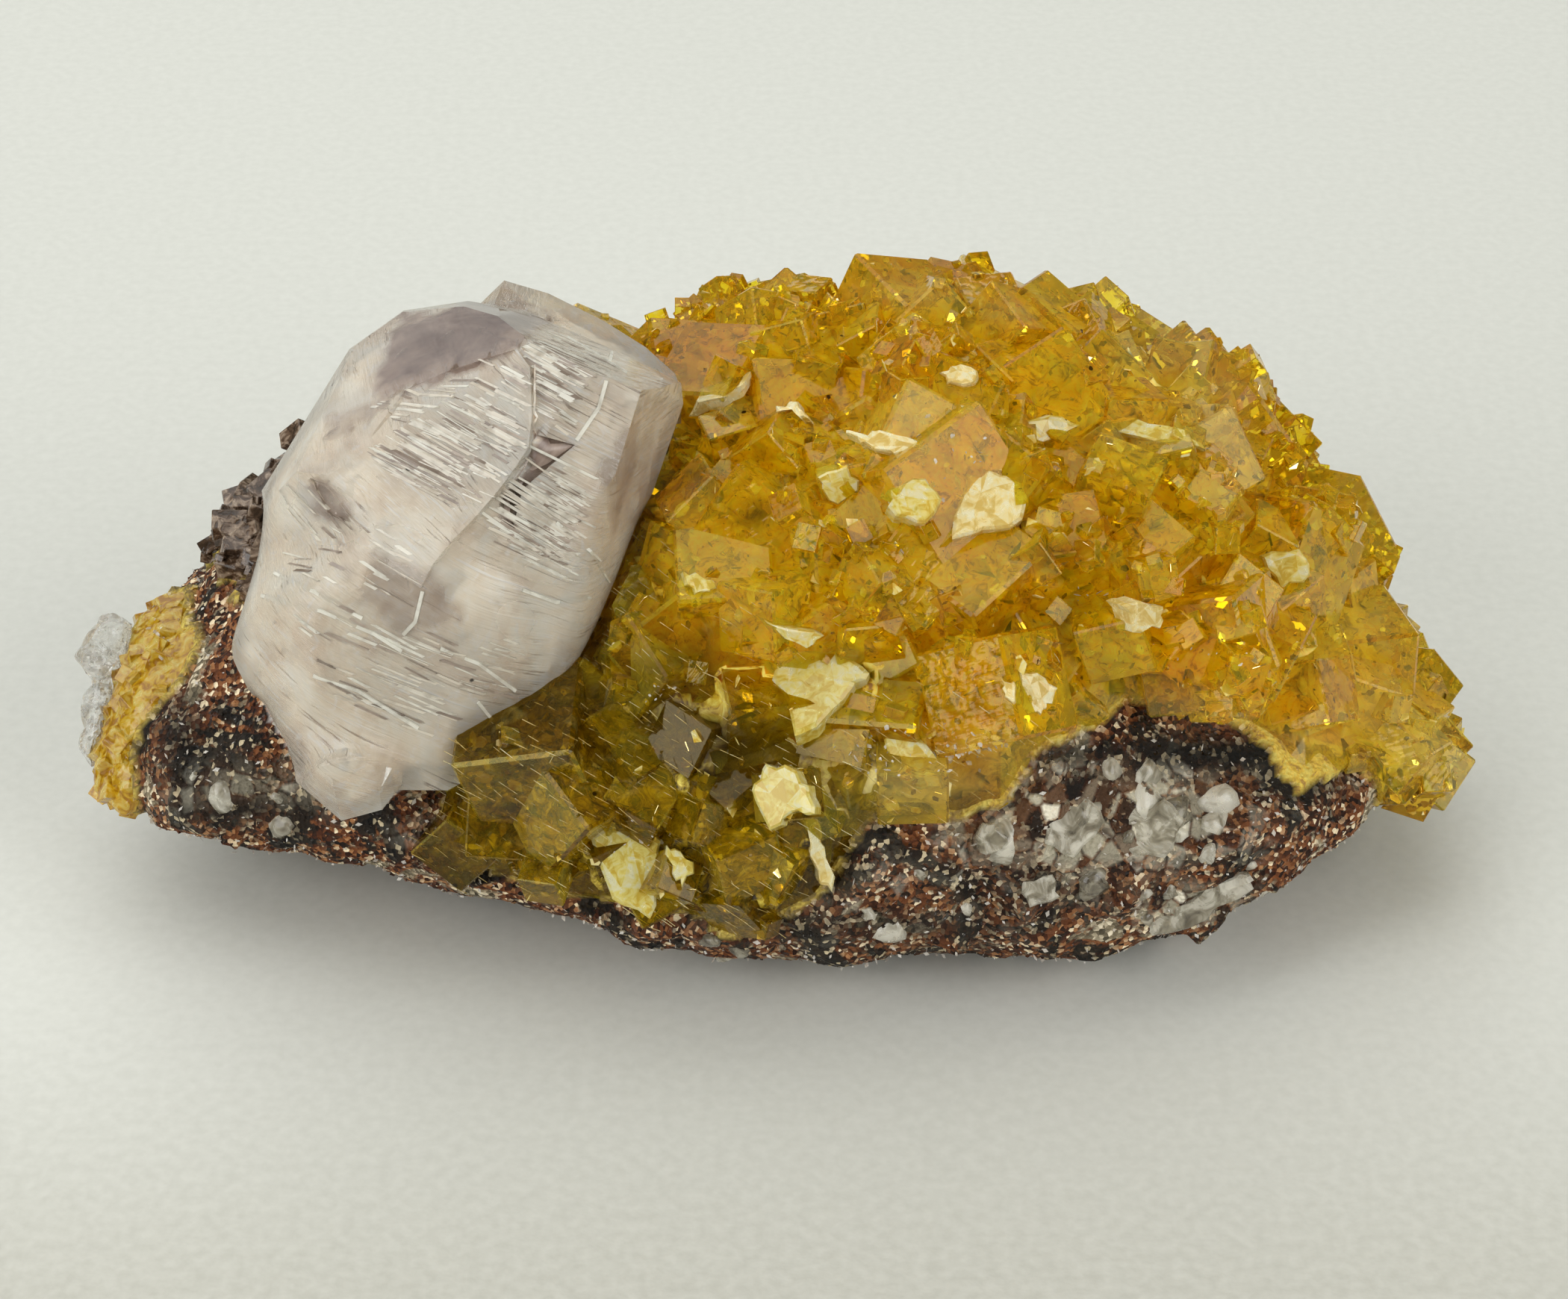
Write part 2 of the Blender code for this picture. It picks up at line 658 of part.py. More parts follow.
def build_matrix(parts, cutters, pockets, rng):
    bm = loft(matrix_point, MATRIX_SPAN)
    rock = object_from(bm, "matrix_rock", parts, material("brown_matrix", MATRIX_COLOUR, 0.85))
    boolean(rock, "UNION", helper_group("matrix_blocks", matrix_blocks(rng), cutters))
    for pocket in pockets:
        boolean(rock, "DIFFERENCE", pocket)
    settle(rock)
    bm = bmesh.new()
    bm.from_mesh(rock.data)
    cut_flat(bm, Vector((0.0, 0.0, 0.0)), Vector((0.0, 0.0, -1.0)))
    bm.to_mesh(rock.data)
    bm.free()


def build_crust(parts, cutters, blockers, fluorite, rng):
    crust = object_from(loft(crust_point, CRUST_SPAN, 24, 5.2), "fluorite_crust", parts, fluorite)
    cubes = crust_cubes(rng) + outline_cubes(rng) + [lump(*PALE_MASS, 3.0)]
    boolean(crust, "UNION", helper_group("crust_cubes", cubes, cutters))
    for blocker in blockers:
        boolean(crust, "DIFFERENCE", blocker)
    settle(crust)


def build_left_end(parts, cutters, matrix_cutter, fluorite):
    """The yellow band and, against its outside, the clear lumps."""
    bm = loft(left_band_point, LEFT_BAND_SPAN, 26, 2.8)
    band = object_from(bm, "fluorite_left", parts, fluorite)
    boolean(band, "DIFFERENCE", matrix_cutter)
    settle(band)
    lumps = [lump(middle, radii, index) for index, (middle, radii) in enumerate(LEFT_LUMPS)]
    clear = object_from(lumps[0], "calcite_left", parts, material("clear_calcite", CLEAR_COLOUR, 0.1))
    boolean(clear, "UNION", helper_group("left_lumps", lumps[1:], cutters))
    bm = loft(lambda x, angle: left_band_point(x, angle, WIDE_GAP), LEFT_BAND_SPAN, 26, 2.8, GAP)
    band_cutter = object_from(bm, "left_band_cutter", cutters)
    boolean(clear, "DIFFERENCE", band_cutter)
    settle(clear)
    return band_cutter


def build_druse(parts, cutters, blockers, rng):
    bm = loft(druse_point, DRUSE_SPAN, 30, 3.6)
    druse = object_from(bm, "brown_druse", parts, material("brown_druse", DRUSE_COLOUR, 0.3))
    crystals = helper_group("druse_crystals", druse_crystals(rng), cutters)
    boolean(druse, "UNION", crystals, "MANIFOLD")
    for blocker in blockers:
        boolean(druse, "DIFFERENCE", blocker, "MANIFOLD")
    settle(druse)


def build_calcite(parts, cutters):
    growths = calcite_growths()
    calcite = object_from(
        growths[0], "calcite_main", parts, material("lilac_calcite", CALCITE_COLOUR, 0.15)
    )
    boolean(calcite, "UNION", helper_group("calcite_growths", growths[1:], cutters))
    settle(calcite)


def centre_over_origin(parts):
    """Moves every mesh so that the middle of the bounding box lies over the origin."""
    corners = [Vector(corner) for made in parts.objects for corner in made.bound_box]
    middle = [(min(c[i] for c in corners) + max(c[i] for c in corners)) / 2.0 for i in (0, 1)]
    shift = Matrix.Translation((-middle[0], -middle[1], 0.0))
    for made in parts.objects:
        made.data.transform(shift)


def clear_scene():
    for old in list(bpy.data.objects):
        bpy.data.objects.remove(old, do_unlink=True)


def new_collection(name):
    made = bpy.data.collections.new(name)
    bpy.context.scene.collection.children.link(made)
    return made


def main():
    clear_scene()
    rng = random.Random(7)
    parts = new_collection(OBJECT_NAME)
    cutters = new_collection("cutters")
    fluorite = material("honey_fluorite", FLUORITE_COLOUR, 0.2)
    calcite_pocket = helper_group("calcite_pocket", calcite_growths(GAP), cutters)
    right_pocket = object_from(right_crystal(GAP), "right_crystal_pocket", cutters)
    bm = loft(lambda x, angle: matrix_point(x, angle, GAP), MATRIX_SPAN, beyond=GAP)
    matrix_cutter = object_from(bm, "matrix_cutter", cutters)
    build_matrix(parts, cutters, (calcite_pocket, right_pocket), rng)
    build_crust(parts, cutters, (matrix_cutter, calcite_pocket, right_pocket), fluorite, rng)
    band_cutter = build_left_end(parts, cutters, matrix_cutter, fluorite)
    build_druse(parts, cutters, (matrix_cutter, calcite_pocket, band_cutter), rng)
    build_calcite(parts, cutters)
    pale = material("pale_yellow_crystal", PALE_YELLOW_COLOUR, 0.15)
    object_from(right_crystal(), "pale_crystal_right", parts, pale)
    centre_over_origin(parts)


main()
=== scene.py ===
"""Calcite with fluorite: the finished look of the specimen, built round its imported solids."""

import json
import math
import random

import bmesh
import bpy
from mathutils import Euler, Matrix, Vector, noise
from mathutils.bvhtree import BVHTree

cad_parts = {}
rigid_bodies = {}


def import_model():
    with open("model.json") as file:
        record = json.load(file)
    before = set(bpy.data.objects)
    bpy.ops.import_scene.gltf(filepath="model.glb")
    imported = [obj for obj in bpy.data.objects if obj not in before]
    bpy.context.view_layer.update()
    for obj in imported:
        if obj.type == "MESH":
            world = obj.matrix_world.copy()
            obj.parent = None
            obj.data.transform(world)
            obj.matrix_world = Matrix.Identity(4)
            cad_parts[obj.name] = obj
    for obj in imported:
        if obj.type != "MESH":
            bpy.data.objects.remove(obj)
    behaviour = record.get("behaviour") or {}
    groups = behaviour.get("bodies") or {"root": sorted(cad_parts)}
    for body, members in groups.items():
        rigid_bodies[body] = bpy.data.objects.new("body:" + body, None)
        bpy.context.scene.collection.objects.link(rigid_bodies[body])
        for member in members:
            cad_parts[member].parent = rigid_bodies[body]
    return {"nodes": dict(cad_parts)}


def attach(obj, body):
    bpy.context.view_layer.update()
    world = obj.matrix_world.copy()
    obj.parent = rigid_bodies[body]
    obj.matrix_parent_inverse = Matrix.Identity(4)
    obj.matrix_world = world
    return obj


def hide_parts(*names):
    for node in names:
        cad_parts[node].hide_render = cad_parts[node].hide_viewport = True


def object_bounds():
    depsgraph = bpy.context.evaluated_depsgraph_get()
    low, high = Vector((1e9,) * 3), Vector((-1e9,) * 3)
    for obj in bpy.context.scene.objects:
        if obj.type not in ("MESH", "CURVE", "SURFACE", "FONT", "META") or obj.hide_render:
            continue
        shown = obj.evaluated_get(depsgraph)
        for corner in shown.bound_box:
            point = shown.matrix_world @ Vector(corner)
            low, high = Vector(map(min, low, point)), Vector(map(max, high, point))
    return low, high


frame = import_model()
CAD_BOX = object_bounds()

MM = 0.001
MERGE = 0.01 * MM
FLOAT = "NodeSocketFloat"
VECTOR = "NodeSocketVector"
GEOMETRY = "NodeSocketGeometry"

# The photograph's camera: it looks at a point inside the specimen from in front and above.
PHOTO_WIDTH, PHOTO_HEIGHT = 2100, 1740
LENS, SENSOR = 85.0, 36.0
FOCAL_PIXELS = LENS / SENSOR * PHOTO_WIDTH
CAMERA_TILT = math.radians(35.0)
CAMERA_DISTANCE = 322.29 * MM
CAMERA_TARGET = Vector((1.17, 0.0, 18.07)) * MM
CAMERA_BACK = Vector((0.0, -math.cos(CAMERA_TILT), math.sin(CAMERA_TILT)))
CAMERA_UP = Vector((0.0, math.sin(CAMERA_TILT), math.cos(CAMERA_TILT)))
CAMERA_PLACE = CAMERA_TARGET + CAMERA_BACK * CAMERA_DISTANCE

# Lights: name, place, size, power and colour.
LIGHTS = (
    ("over_light", (-0.30, 0.40, 0.90), 1.5, 10.9, (0.98, 1.0, 1.0)),
    ("left_light", (-0.80, -0.70, 0.50), 0.9, 8.6, (1.0, 1.0, 1.0)),
    ("right_light", (0.85, -0.58, 0.60), 0.8, 8.0, (1.0, 1.0, 0.99)),
)
WORLD_COLOUR = (1.0, 0.94, 0.70)
WORLD_STRENGTH = 0.17
FLOOR_REACH = 3.0

# The crust is olive brown where the height over this slope is under the edge.
LOWER_FRONT_SLOPE = (0.38, 0.574, 0.819)
LOWER_FRONT_EDGE = 10.0 * MM
LOWER_FRONT_SOFTNESS = 12.0 * MM
LOWER_FRONT_WANDER = 14.0 * MM

# Tones from deep to pale, of the crust's clear outside and of its cloudy inside.
AMBER_TONES = ((0.80, 0.43, 0.003), (1.0, 0.72, 0.010), (1.0, 0.87, 0.06))
OLIVE_TONES = ((0.24, 0.14, 0.004), (0.74, 0.51, 0.012), (1.0, 0.88, 0.12))
VEIL_AMBER = (1.0, 0.88, 0.20)
VEIL_OLIVE = (0.88, 0.72, 0.18)
UNDER_AMBER = ((0.38, 0.15, 0.002), (1.0, 0.64, 0.014), (1.0, 0.83, 0.14))
UNDER_OLIVE = ((0.035, 0.022, 0.003), (0.46, 0.31, 0.010), (1.0, 0.84, 0.14))
UNDER_CALCITE = (0.82, 0.78, 0.74)
# Tones of the calcite's outside, its inside and its growth steps, and of the rock's grains and clasts.
CALCITE_TONES = ((0.84, 0.72, 0.60), (0.98, 0.90, 0.77), (1.0, 0.98, 0.90))
UNDER_CALCITE_TONES = ((0.50, 0.39, 0.29), (0.84, 0.72, 0.57), (0.97, 0.88, 0.74), (1.0, 0.97, 0.89))
STEP_TONES = ((0.34, 0.27, 0.22), (0.62, 0.53, 0.45), (0.88, 0.81, 0.69), (1.0, 0.99, 0.90))
ROCK_BROWN = (
    (0.006, 0.003, 0.002), (0.065, 0.016, 0.004), (0.19, 0.060, 0.018), (0.44, 0.21, 0.085),
    (1.0, 0.84, 0.58),
)
ROCK_BLACK = ((0.002, 0.002, 0.002), (0.022, 0.014, 0.008), (0.62, 0.52, 0.34))
ROCK_GREY = ((0.06, 0.050, 0.030), (0.34, 0.28, 0.18), (0.92, 0.82, 0.62))
CLAST_TONES = (
    (0.006, 0.005, 0.004), (0.12, 0.055, 0.025), (0.30, 0.27, 0.20), (0.55, 0.51, 0.39), (0.96, 0.90, 0.74),
)

# How far the clasts' cells lie apart, as the scale of their noise, and the tone of the pale patches.
CLAST_CELLS = 560.0
PATCH_TONE = 0.62
# The plain crystals' finishes: name, transmission, least and most roughness, tones from deep to pale, and
# what differs from the usual. Inside is the tint and the density of what absorbs light, where it does.
CRYSTAL_FINISHES = (
    ("band_fluorite", 0.55, 0.08, 0.30, ((0.52, 0.24, 0.004), (0.90, 0.56, 0.02), (1.0, 0.82, 0.22)),
     {"inside": ((1.0, 0.80, 0.12), 110.0), "relief": 0.08}),
    ("cream_cleavage", 0.35, 0.12, 0.4, ((0.80, 0.58, 0.16), (1.0, 0.84, 0.38), (1.0, 0.95, 0.62)),
     {"relief": 0.08, "by_face": 0.22}),
    ("pale_chip", 0.45, 0.08, 0.3, ((0.80, 0.58, 0.08), (1.0, 0.88, 0.26), (1.0, 0.98, 0.62)),
     {"grain": 1000.0, "relief": 0.08, "by_face": 0.22}),
    ("amber_flake", 0.3, 0.1, 0.3, ((0.85, 0.55, 0.06), (1.0, 0.82, 0.22), (1.0, 0.92, 0.50)), {}),
    ("brown_flake", 0.0, 0.1, 0.3, ((0.10, 0.045, 0.004), (0.22, 0.11, 0.008), (0.45, 0.27, 0.02)), {}),
    ("white_veil", 0.5, 0.1, 0.3, ((0.84, 0.78, 0.70), (0.95, 0.91, 0.84), (1.0, 0.98, 0.94)), {}),
    ("frosty_calcite", 0.82, 0.06, 0.40, ((0.75, 0.74, 0.70), (0.93, 0.93, 0.90), (1.0, 1.0, 1.0)),
     {"inside": ((0.95, 0.96, 0.92), 20.0), "grain": 1000.0, "relief": 0.10}),
    ("grey_quartz", 0.5, 0.12, 0.5, ((0.13, 0.11, 0.08), (0.44, 0.40, 0.30), (1.0, 0.96, 0.82)),
     {"grain": 560.0, "relief": 0.04, "by_face": 0.34}),
    ("brown_druse", 0.45, 0.05, 0.3, ((0.06, 0.035, 0.020), (0.18, 0.11, 0.07), (0.62, 0.48, 0.36)), {}),
    ("pale_yellow", 0.8, 0.08, 0.4, ((0.85, 0.76, 0.45), (0.95, 0.90, 0.66), (1.0, 0.98, 0.86)),
     {"inside": ((1.0, 0.93, 0.6), 60.0)}),
)

# Refractive indices.
FLUORITE_IOR = 1.434
CALCITE_IOR = 1.49
CRYSTAL_IOR = 1.5

# How far the cloudy insides lie under the clear outsides.
CORE_DEPTH = 2.4 * MM
CALCITE_CORE_DEPTH = 2.2 * MM
THICKEST_SHARE = 0.42

# Where a coat lies over the rock: how near it and how thick at most, and how far the rock swells into it.
COAT_REACH = 1.2 * MM
COAT_THICKNESS = 9.0 * MM
ROCK_SWELL = 0.8 * MM
# How far loose grains stay from the coats and from the floor.
GRAIN_GAP = 0.9 * MM
GRAIN_FLOOR = 1.2 * MM

# The longest edge of a mesh that carries painted values.
CRUST_EDGE = 1.6 * MM
CALCITE_EDGE = 1.4 * MM

# The sizes of a scatter with their units, and their values for each piece or layer: the least space between
# two crystals, how many grow at most on a square metre, the least and the largest size, how deep each sits as
# a share of its size, how far it stands upright, how fast its turn drifts, how far chance turns it, and the
# seed.
SCATTER_SIZES = (
    ("Spacing", MM), ("Density", 1.0), ("Smallest", MM), ("Largest", MM), ("Sink", 1.0), ("Aligned", 1.0),
    ("Drift", 1.0), ("Turn", 1.0), ("Seed", 1),
)
SCATTERED = {
    "large_cubes": (3.5, 400000.0, 4.5, 9.4, 0.47, 0.0, 6.0, 0.40, 11),
    "middle_cubes": (2.0, 400000.0, 1.6, 3.8, 0.28, 0.0, 6.0, 0.9, 23),
    "small_cubes": (1.3, 400000.0, 0.7, 1.8, 0.20, 0.0, 6.0, 1.3, 29),
    "band_cubes": (1.5, 300000.0, 0.7, 2.2, 0.34, 0.2, 12.0, 0.8, 61),
    "druse_points": (1.0, 900000.0, 0.8, 2.4, 0.05, 0.2, 20.0, 1.5, 53),
    "amber_flakes": (1.7, 900000.0, 0.6, 2.2, 0.45, 0.2, 20.0, 1.4, 31),
    "brown_flakes": (1.5, 900000.0, 0.2, 1.1, 0.4, 0.2, 20.0, 1.4, 35),
    "bright_glints": (1.6, 900000.0, 0.4, 1.8, 0.5, 0.2, 20.0, 1.4, 33),
    "crust_sparkles": (0.45, 4000000.0, 0.25, 0.9, -0.1, 0.5, 20.0, 1.0, 39),
    "band_sparkles": (0.45, 4000000.0, 0.25, 0.9, -0.1, 0.5, 20.0, 1.0, 39),
    "calcite_veils": (2.2, 90000.0, 0.8, 4.0, 0.7, 0.2, 6.0, 0.5, 37),
    "pale_fibres": (0.9, 900000.0, 0.5, 2.6, -0.01, 0.0, 0.0, 0.16, 71),
    "matrix_grains": (0.6, 1200000.0, 0.18, 0.7, 0.15, 0.0, 40.0, 3.0, 41),
    "quartz_clasts": (1.9, 260000.0, 1.0, 4.4, 0.16, 0.8, 9.0, 0.6, 43),
    "matrix_sparkles": (0.8, 1200000.0, 0.15, 0.75, -0.35, 0.45, 30.0, 1.2, 47),
}
# The scale of the noise by which the crystals' turn drifts over a surface.
DRIFT_SCALE = 60.0

# The calcite's low-angle facets are worn round between these rows of the photograph, this many times over.
WORN_ROWS = ((660, 1010, 10), (935, 1040, 16))
SHARP_ANGLE = math.radians(9.0)
# The slopes of the calcite's striations and of the crust's fibres in the photograph, in degrees.
STRIATION_SLOPE = 30.0
FIBRE_SLOPE = 38.0
# How deep a growth step reaches into the calcite, the share of steps painted dark as shade in the gaps, and
# how far an end may stand off.
STEP_ROOT = 0.3 * MM
SHADED_GAP_STEPS = 0.30
STEP_STRAY = 0.12 * MM
RIDGE_WIDTH = 0.45 * MM
RIDGE_HEIGHT = 0.14 * MM
RIDGE_CREST = 0.6
SLAB_ROOT = 0.8 * MM
SUNK_SLAB_HEIGHT = 1.5 * MM
# How far, in pixels, the edges of broken plates wander, and how deep and how bevelled the plates are.
RAGGED = 3.2
PLATE_ROOT = 2.2 * MM
PLATE_EDGE = 0.25 * MM

# Striated parts of the calcite: outline in pixels, how many steps, and their lengths, widths and heights.
STRIATED = (
    (((538, 525), (694, 464), (720, 490), (711, 577), (676, 638), (629, 698), (564, 659), (503, 620)),
     620, (1.0, 6.0), (0.05, 0.24), (0.01, 0.06)),
    (((707, 460), (770, 452), (805, 481), (788, 546), (762, 580), (720, 563), (707, 533)),
     260, (1.0, 4.5), (0.05, 0.24), (0.01, 0.06)),
    (((694, 655), (762, 613), (805, 742), (790, 760), (760, 780), (694, 740), (676, 716)),
     420, (1.0, 6.0), (0.05, 0.26), (0.01, 0.07)),
    (((380, 780), (455, 794), (486, 833), (607, 859), (640, 872), (564, 890), (400, 850)),
     40, (1.0, 5.0), (0.06, 0.3), (0.01, 0.05)),
    (((420, 870), (560, 900), (700, 850), (660, 940), (560, 980), (470, 960)),
     60, (1.0, 4.0), (0.05, 0.25), (0.01, 0.05)),
    (((350, 640), (470, 680), (560, 740), (540, 800), (420, 790), (330, 760)),
     60, (1.0, 4.0), (0.05, 0.3), (0.01, 0.05)),
)
# The raised lip that ends the striated face: its bright edge runs down the right side of the outline.
LIP_OUTLINE = (
    (650, 484), (694, 470), (712, 495), (715, 560), (711, 603), (694, 629), (672, 659), (642, 694),
    (607, 729), (581, 759), (564, 789), (520, 760), (500, 700), (470, 620), (500, 550), (545, 524),
    (600, 500),
)
LIP_HEIGHTS = (0.5, 0.5, 0.6, 0.7, 0.8, 0.8, 0.8, 0.8, 0.7, 0.5, 0.2, 0.02, 0.02, 0.02, 0.25, 0.4, 0.45)
# Facets sunk into the calcite's face: outline in pixels, and depth in mm.
DARK_FACET = ((718, 582), (770, 596), (700, 655), (687, 707), (668, 676), (705, 624))
SUNK_FACETS = (
    (DARK_FACET, 0.5),
    (((415, 640), (440, 655), (470, 700), (440, 690)), 0.3),
)
# Smooth dusky faces and patches of the calcite, darker partly by their own mauve tint and partly by painted
# shade, most of all in the sunk recess: outline in pixels, and how dusky.
DUSKY_AND_SHADED = (
    (((538, 416), (590, 420), (620, 401), (650, 408), (737, 429), (707, 455), (650, 490), (600, 508),
      (494, 538)), 1.0),
    (DARK_FACET, 1.0),
    (((412, 642), (440, 640), (470, 690), (455, 705), (420, 690)), 0.8),
    (((430, 560), (494, 538), (530, 528), (500, 560), (440, 590)), 0.6),
    (((500, 740), (590, 770), (620, 830), (540, 850), (480, 800)), 0.45),
    (((800, 620), (850, 560), (855, 620), (820, 720)), 0.5),
)
# Milky clouds in the calcite, and on the right a painted highlight where it glints white: middle and reach in
# pixels, and how white.
MILK_AND_GLINT_SPOTS = (
    (446, 712, 40, 22, 1.0), (520, 720, 70, 24, 0.8), (385, 640, 26, 70, 0.7),
    (745, 765, 60, 22, 0.9), (600, 880, 90, 60, 0.5), (690, 830, 60, 60, 0.6),
    (330, 880, 26, 60, 0.8), (770, 500, 50, 30, 0.5), (620, 560, 80, 50, 0.4),
)
# Ridges and cracks of the calcite, as lines of pixels; their crests are painted the palest tone as a
# highlight.
RIDGES = (
    ((819, 473), (812, 510), (802, 546), (772, 590)),
    ((368, 768), (420, 792), (485, 828)),
    ((351, 798), (430, 818), (500, 848), (538, 872)),
    ((745, 700), (790, 738), (815, 780)),
    ((700, 790), (745, 806), (790, 800)),
    ((590, 868), (640, 888), (690, 925)),
    ((420, 905), (480, 925), (560, 975)),
    ((566, 792), (556, 833), (540, 850)),
    ((640, 940), (660, 965), (650, 985)),
    ((760, 452), (790, 470), (840, 500)),
)
# Broken cleavage plates on the crust: outline in pixels, height over the crust in mm, and their finish.
PLATES = (
    (((1133, 575), (1160, 584), (1178, 575), (1236, 593), (1229, 602), (1170, 602), (1152, 592)),
     0.9, "cream"),
    (((1293, 634), (1340, 635), (1370, 647), (1370, 694), (1342, 707), (1276, 721), (1277, 690)),
     0.8, "cream"),
    (((1346, 582), (1370, 560), (1407, 556), (1448, 570), (1419, 588), (1387, 600)), 0.8, "chip"),
    (((921, 560), (933, 539), (982, 529), (995, 515), (995, 533), (962, 551)), 0.8, "cream"),
    (((1038, 543), (1068, 537), (1082, 560), (1072, 560), (1062, 547), (1040, 550)), 0.8, "cream"),
    (((1258, 498), (1280, 489), (1309, 496), (1303, 513), (1268, 513)), 0.7, "cream"),
    (((1467, 566), (1520, 559), (1590, 575), (1614, 600), (1560, 596), (1500, 580)), 0.8, "chip"),
    (((1505, 812), (1530, 806), (1560, 816), (1556, 843), (1520, 848)), 0.7, "cream"),
    (((1027, 876), (1052, 869), (1121, 867), (1164, 900), (1142, 918), (1101, 963), (1064, 984),
      (1050, 930)), 0.9, "chip"),
    (((1366, 900), (1391, 902), (1418, 922), (1403, 943), (1395, 959), (1366, 951)), 0.8, "cream"),
    (((1340, 905), (1358, 912), (1360, 940), (1346, 930)), 0.6, "cream"),
    (((1006, 1058), (1020, 1030), (1050, 1024), (1082, 1052), (1090, 1090), (1060, 1088), (1030, 1112)),
     0.9, "chip"),
    (((1076, 1082), (1101, 1102), (1105, 1135), (1115, 1196), (1097, 1180), (1084, 1147)), 0.6, "cream"),
    (((790, 1120), (840, 1104), (884, 1127), (880, 1150), (891, 1190), (870, 1232), (820, 1205)),
     0.8, "chip"),
    (((893, 1132), (912, 1140), (930, 1170), (914, 1192), (900, 1170)), 0.6, "chip"),
    (((1027, 835), (1052, 841), (1105, 853), (1082, 870), (1052, 857)), 0.9, "chip"),
    (((915, 765), (940, 772), (958, 780), (952, 792), (931, 796)), 0.8, "chip"),
    (((1095, 640), (1135, 625), (1150, 660), (1110, 672)), 0.5, "chip"),
    (((1190, 655), (1240, 640), (1262, 668), (1240, 700), (1200, 690)), 0.5, "chip"),
    (((1690, 745), (1740, 735), (1755, 770), (1715, 790)), 0.7, "chip"),
    (((1180, 960), (1230, 985), (1260, 1020), (1225, 1035), (1190, 1010)), 0.4, "chip"),
)
# Pale cloudy parts of the crust, and its crevices and hollows darkened with painted shade: middle and reach
# in pixels, and strength.
PALE_SPOTS = (
    (1240, 392, 70, 20, 0.8), (1350, 415, 50, 22, 0.7), (1560, 475, 80, 40, 0.8), (1620, 540, 45, 60, 0.9),
    (1540, 580, 70, 18, 0.7), (1660, 640, 30, 40, 0.5), (1820, 830, 50, 45, 0.7), (1230, 1050, 110, 36, 0.9),
    (1330, 1010, 60, 30, 0.6), (1215, 560, 60, 30, 0.4), (1560, 950, 110, 26, 0.6), (1760, 990, 110, 26, 0.6),
    (950, 545, 60, 16, 0.5), (1850, 950, 70, 60, 0.7), (1910, 1000, 50, 50, 0.9), (1780, 900, 60, 40, 0.4),
    (1700, 1012, 60, 14, 0.8), (1790, 1042, 50, 16, 0.8), (1610, 990, 60, 12, 0.7),
)
CREVICE_SHADE_SPOTS = (
    (1013, 688, 24, 16, 1.0), (1060, 1010, 60, 26, 0.8), (905, 900, 70, 60, 0.7), (980, 1000, 90, 60, 1.0),
    (900, 960, 50, 50, 0.9), (1100, 1120, 30, 50, 0.5), (1160, 730, 40, 14, 0.6), (1330, 830, 44, 16, 0.7),
    (1416, 745, 34, 14, 0.8), (1180, 905, 40, 20, 0.6), (860, 1010, 60, 30, 0.6), (800, 960, 30, 60, 0.6),
    (940, 640, 24, 12, 0.5), (1190, 800, 30, 12, 0.5), (1480, 700, 26, 10, 0.5),
)
# Clusters of white sparkles: middle and reach in pixels, and how thick they lie.
SPARKLES = (
    (1457, 798, 18, 14, 1.0), (1298, 610, 34, 22, 0.8), (1268, 640, 16, 20, 0.6), (1215, 560, 50, 30, 0.25),
    (1180, 1005, 60, 40, 0.5), (1290, 1000, 50, 30, 0.5), (1050, 1050, 30, 30, 0.5), (860, 1140, 40, 40, 0.5),
    (880, 930, 16, 12, 0.8), (1620, 880, 40, 20, 0.4), (265, 835, 20, 12, 1.0), (215, 850, 30, 40, 0.3),
)
# Pale patches of the rock: outline in pixels, and height over it in mm.
ROCK_PATCHES = (
    (((1313, 1110), (1333, 1102), (1352, 1122), (1342, 1139), (1315, 1143), (1309, 1127)), 0.9),
    (((1153, 1220), (1162, 1216), (1176, 1224), (1170, 1232), (1156, 1231)), 0.7),
    (((1528, 1234), (1554, 1218), (1596, 1208), (1638, 1181), (1675, 1174), (1680, 1192), (1617, 1234),
      (1544, 1255)), 0.8),
    (((1390, 1072), (1450, 1060), (1480, 1100), (1440, 1150), (1400, 1130)), 0.6),
    (((1500, 1090), (1560, 1070), (1590, 1100), (1560, 1150), (1510, 1140)), 0.6),
    (((1370, 1180), (1410, 1170), (1420, 1200), (1380, 1215)), 0.5),
)
# Where grey clasts lie thick in the rock, and where painted shade blackens it under the crust's overhang,
# along its foot and at the left end: as above.
CLAST_SPOTS = (
    (1450, 1100, 130, 70, 1.0), (1570, 1080, 90, 60, 0.8), (1330, 1120, 60, 50, 0.6),
    (1590, 1210, 70, 26, 0.7), (330, 1060, 90, 30, 0.5), (620, 1110, 60, 26, 0.5),
    (1160, 1200, 300, 60, 0.12),
)
PAINTED_ROCK_SHADE = (
    (1640, 1010, 130, 26, 1.0), (1740, 1040, 60, 30, 1.0), (1440, 1010, 60, 20, 0.7),
    (1380, 1190, 60, 30, 0.6), (1190, 1240, 160, 20, 0.6), (240, 985, 30, 60, 0.8), (330, 1085, 60, 20, 0.7),
)


# Meshes


def object_from(bm, name, surface=None):
    mesh = bpy.data.meshes.new(name)
    bm.to_mesh(mesh)
    bm.free()
    made = bpy.data.objects.new(name, mesh)
    bpy.context.scene.collection.objects.link(made)
    if surface:
        mesh.materials.append(surface)
    return made


def mesh_copy(piece):
    bm = bmesh.new()
    bm.from_mesh(piece.data)
    return bm


def mesh_of_node(name):
    """A copy of a CAD node's mesh with its loose triangles merged."""
    bm = mesh_copy(frame["nodes"][name])
    bmesh.ops.remove_doubles(bm, verts=bm.verts, dist=MERGE)
    return bm


def tree_of(bm):
    made = BVHTree.FromBMesh(bm)
    bm.free()
    return made


def tree_of_node(name):
    return tree_of(mesh_of_node(name))


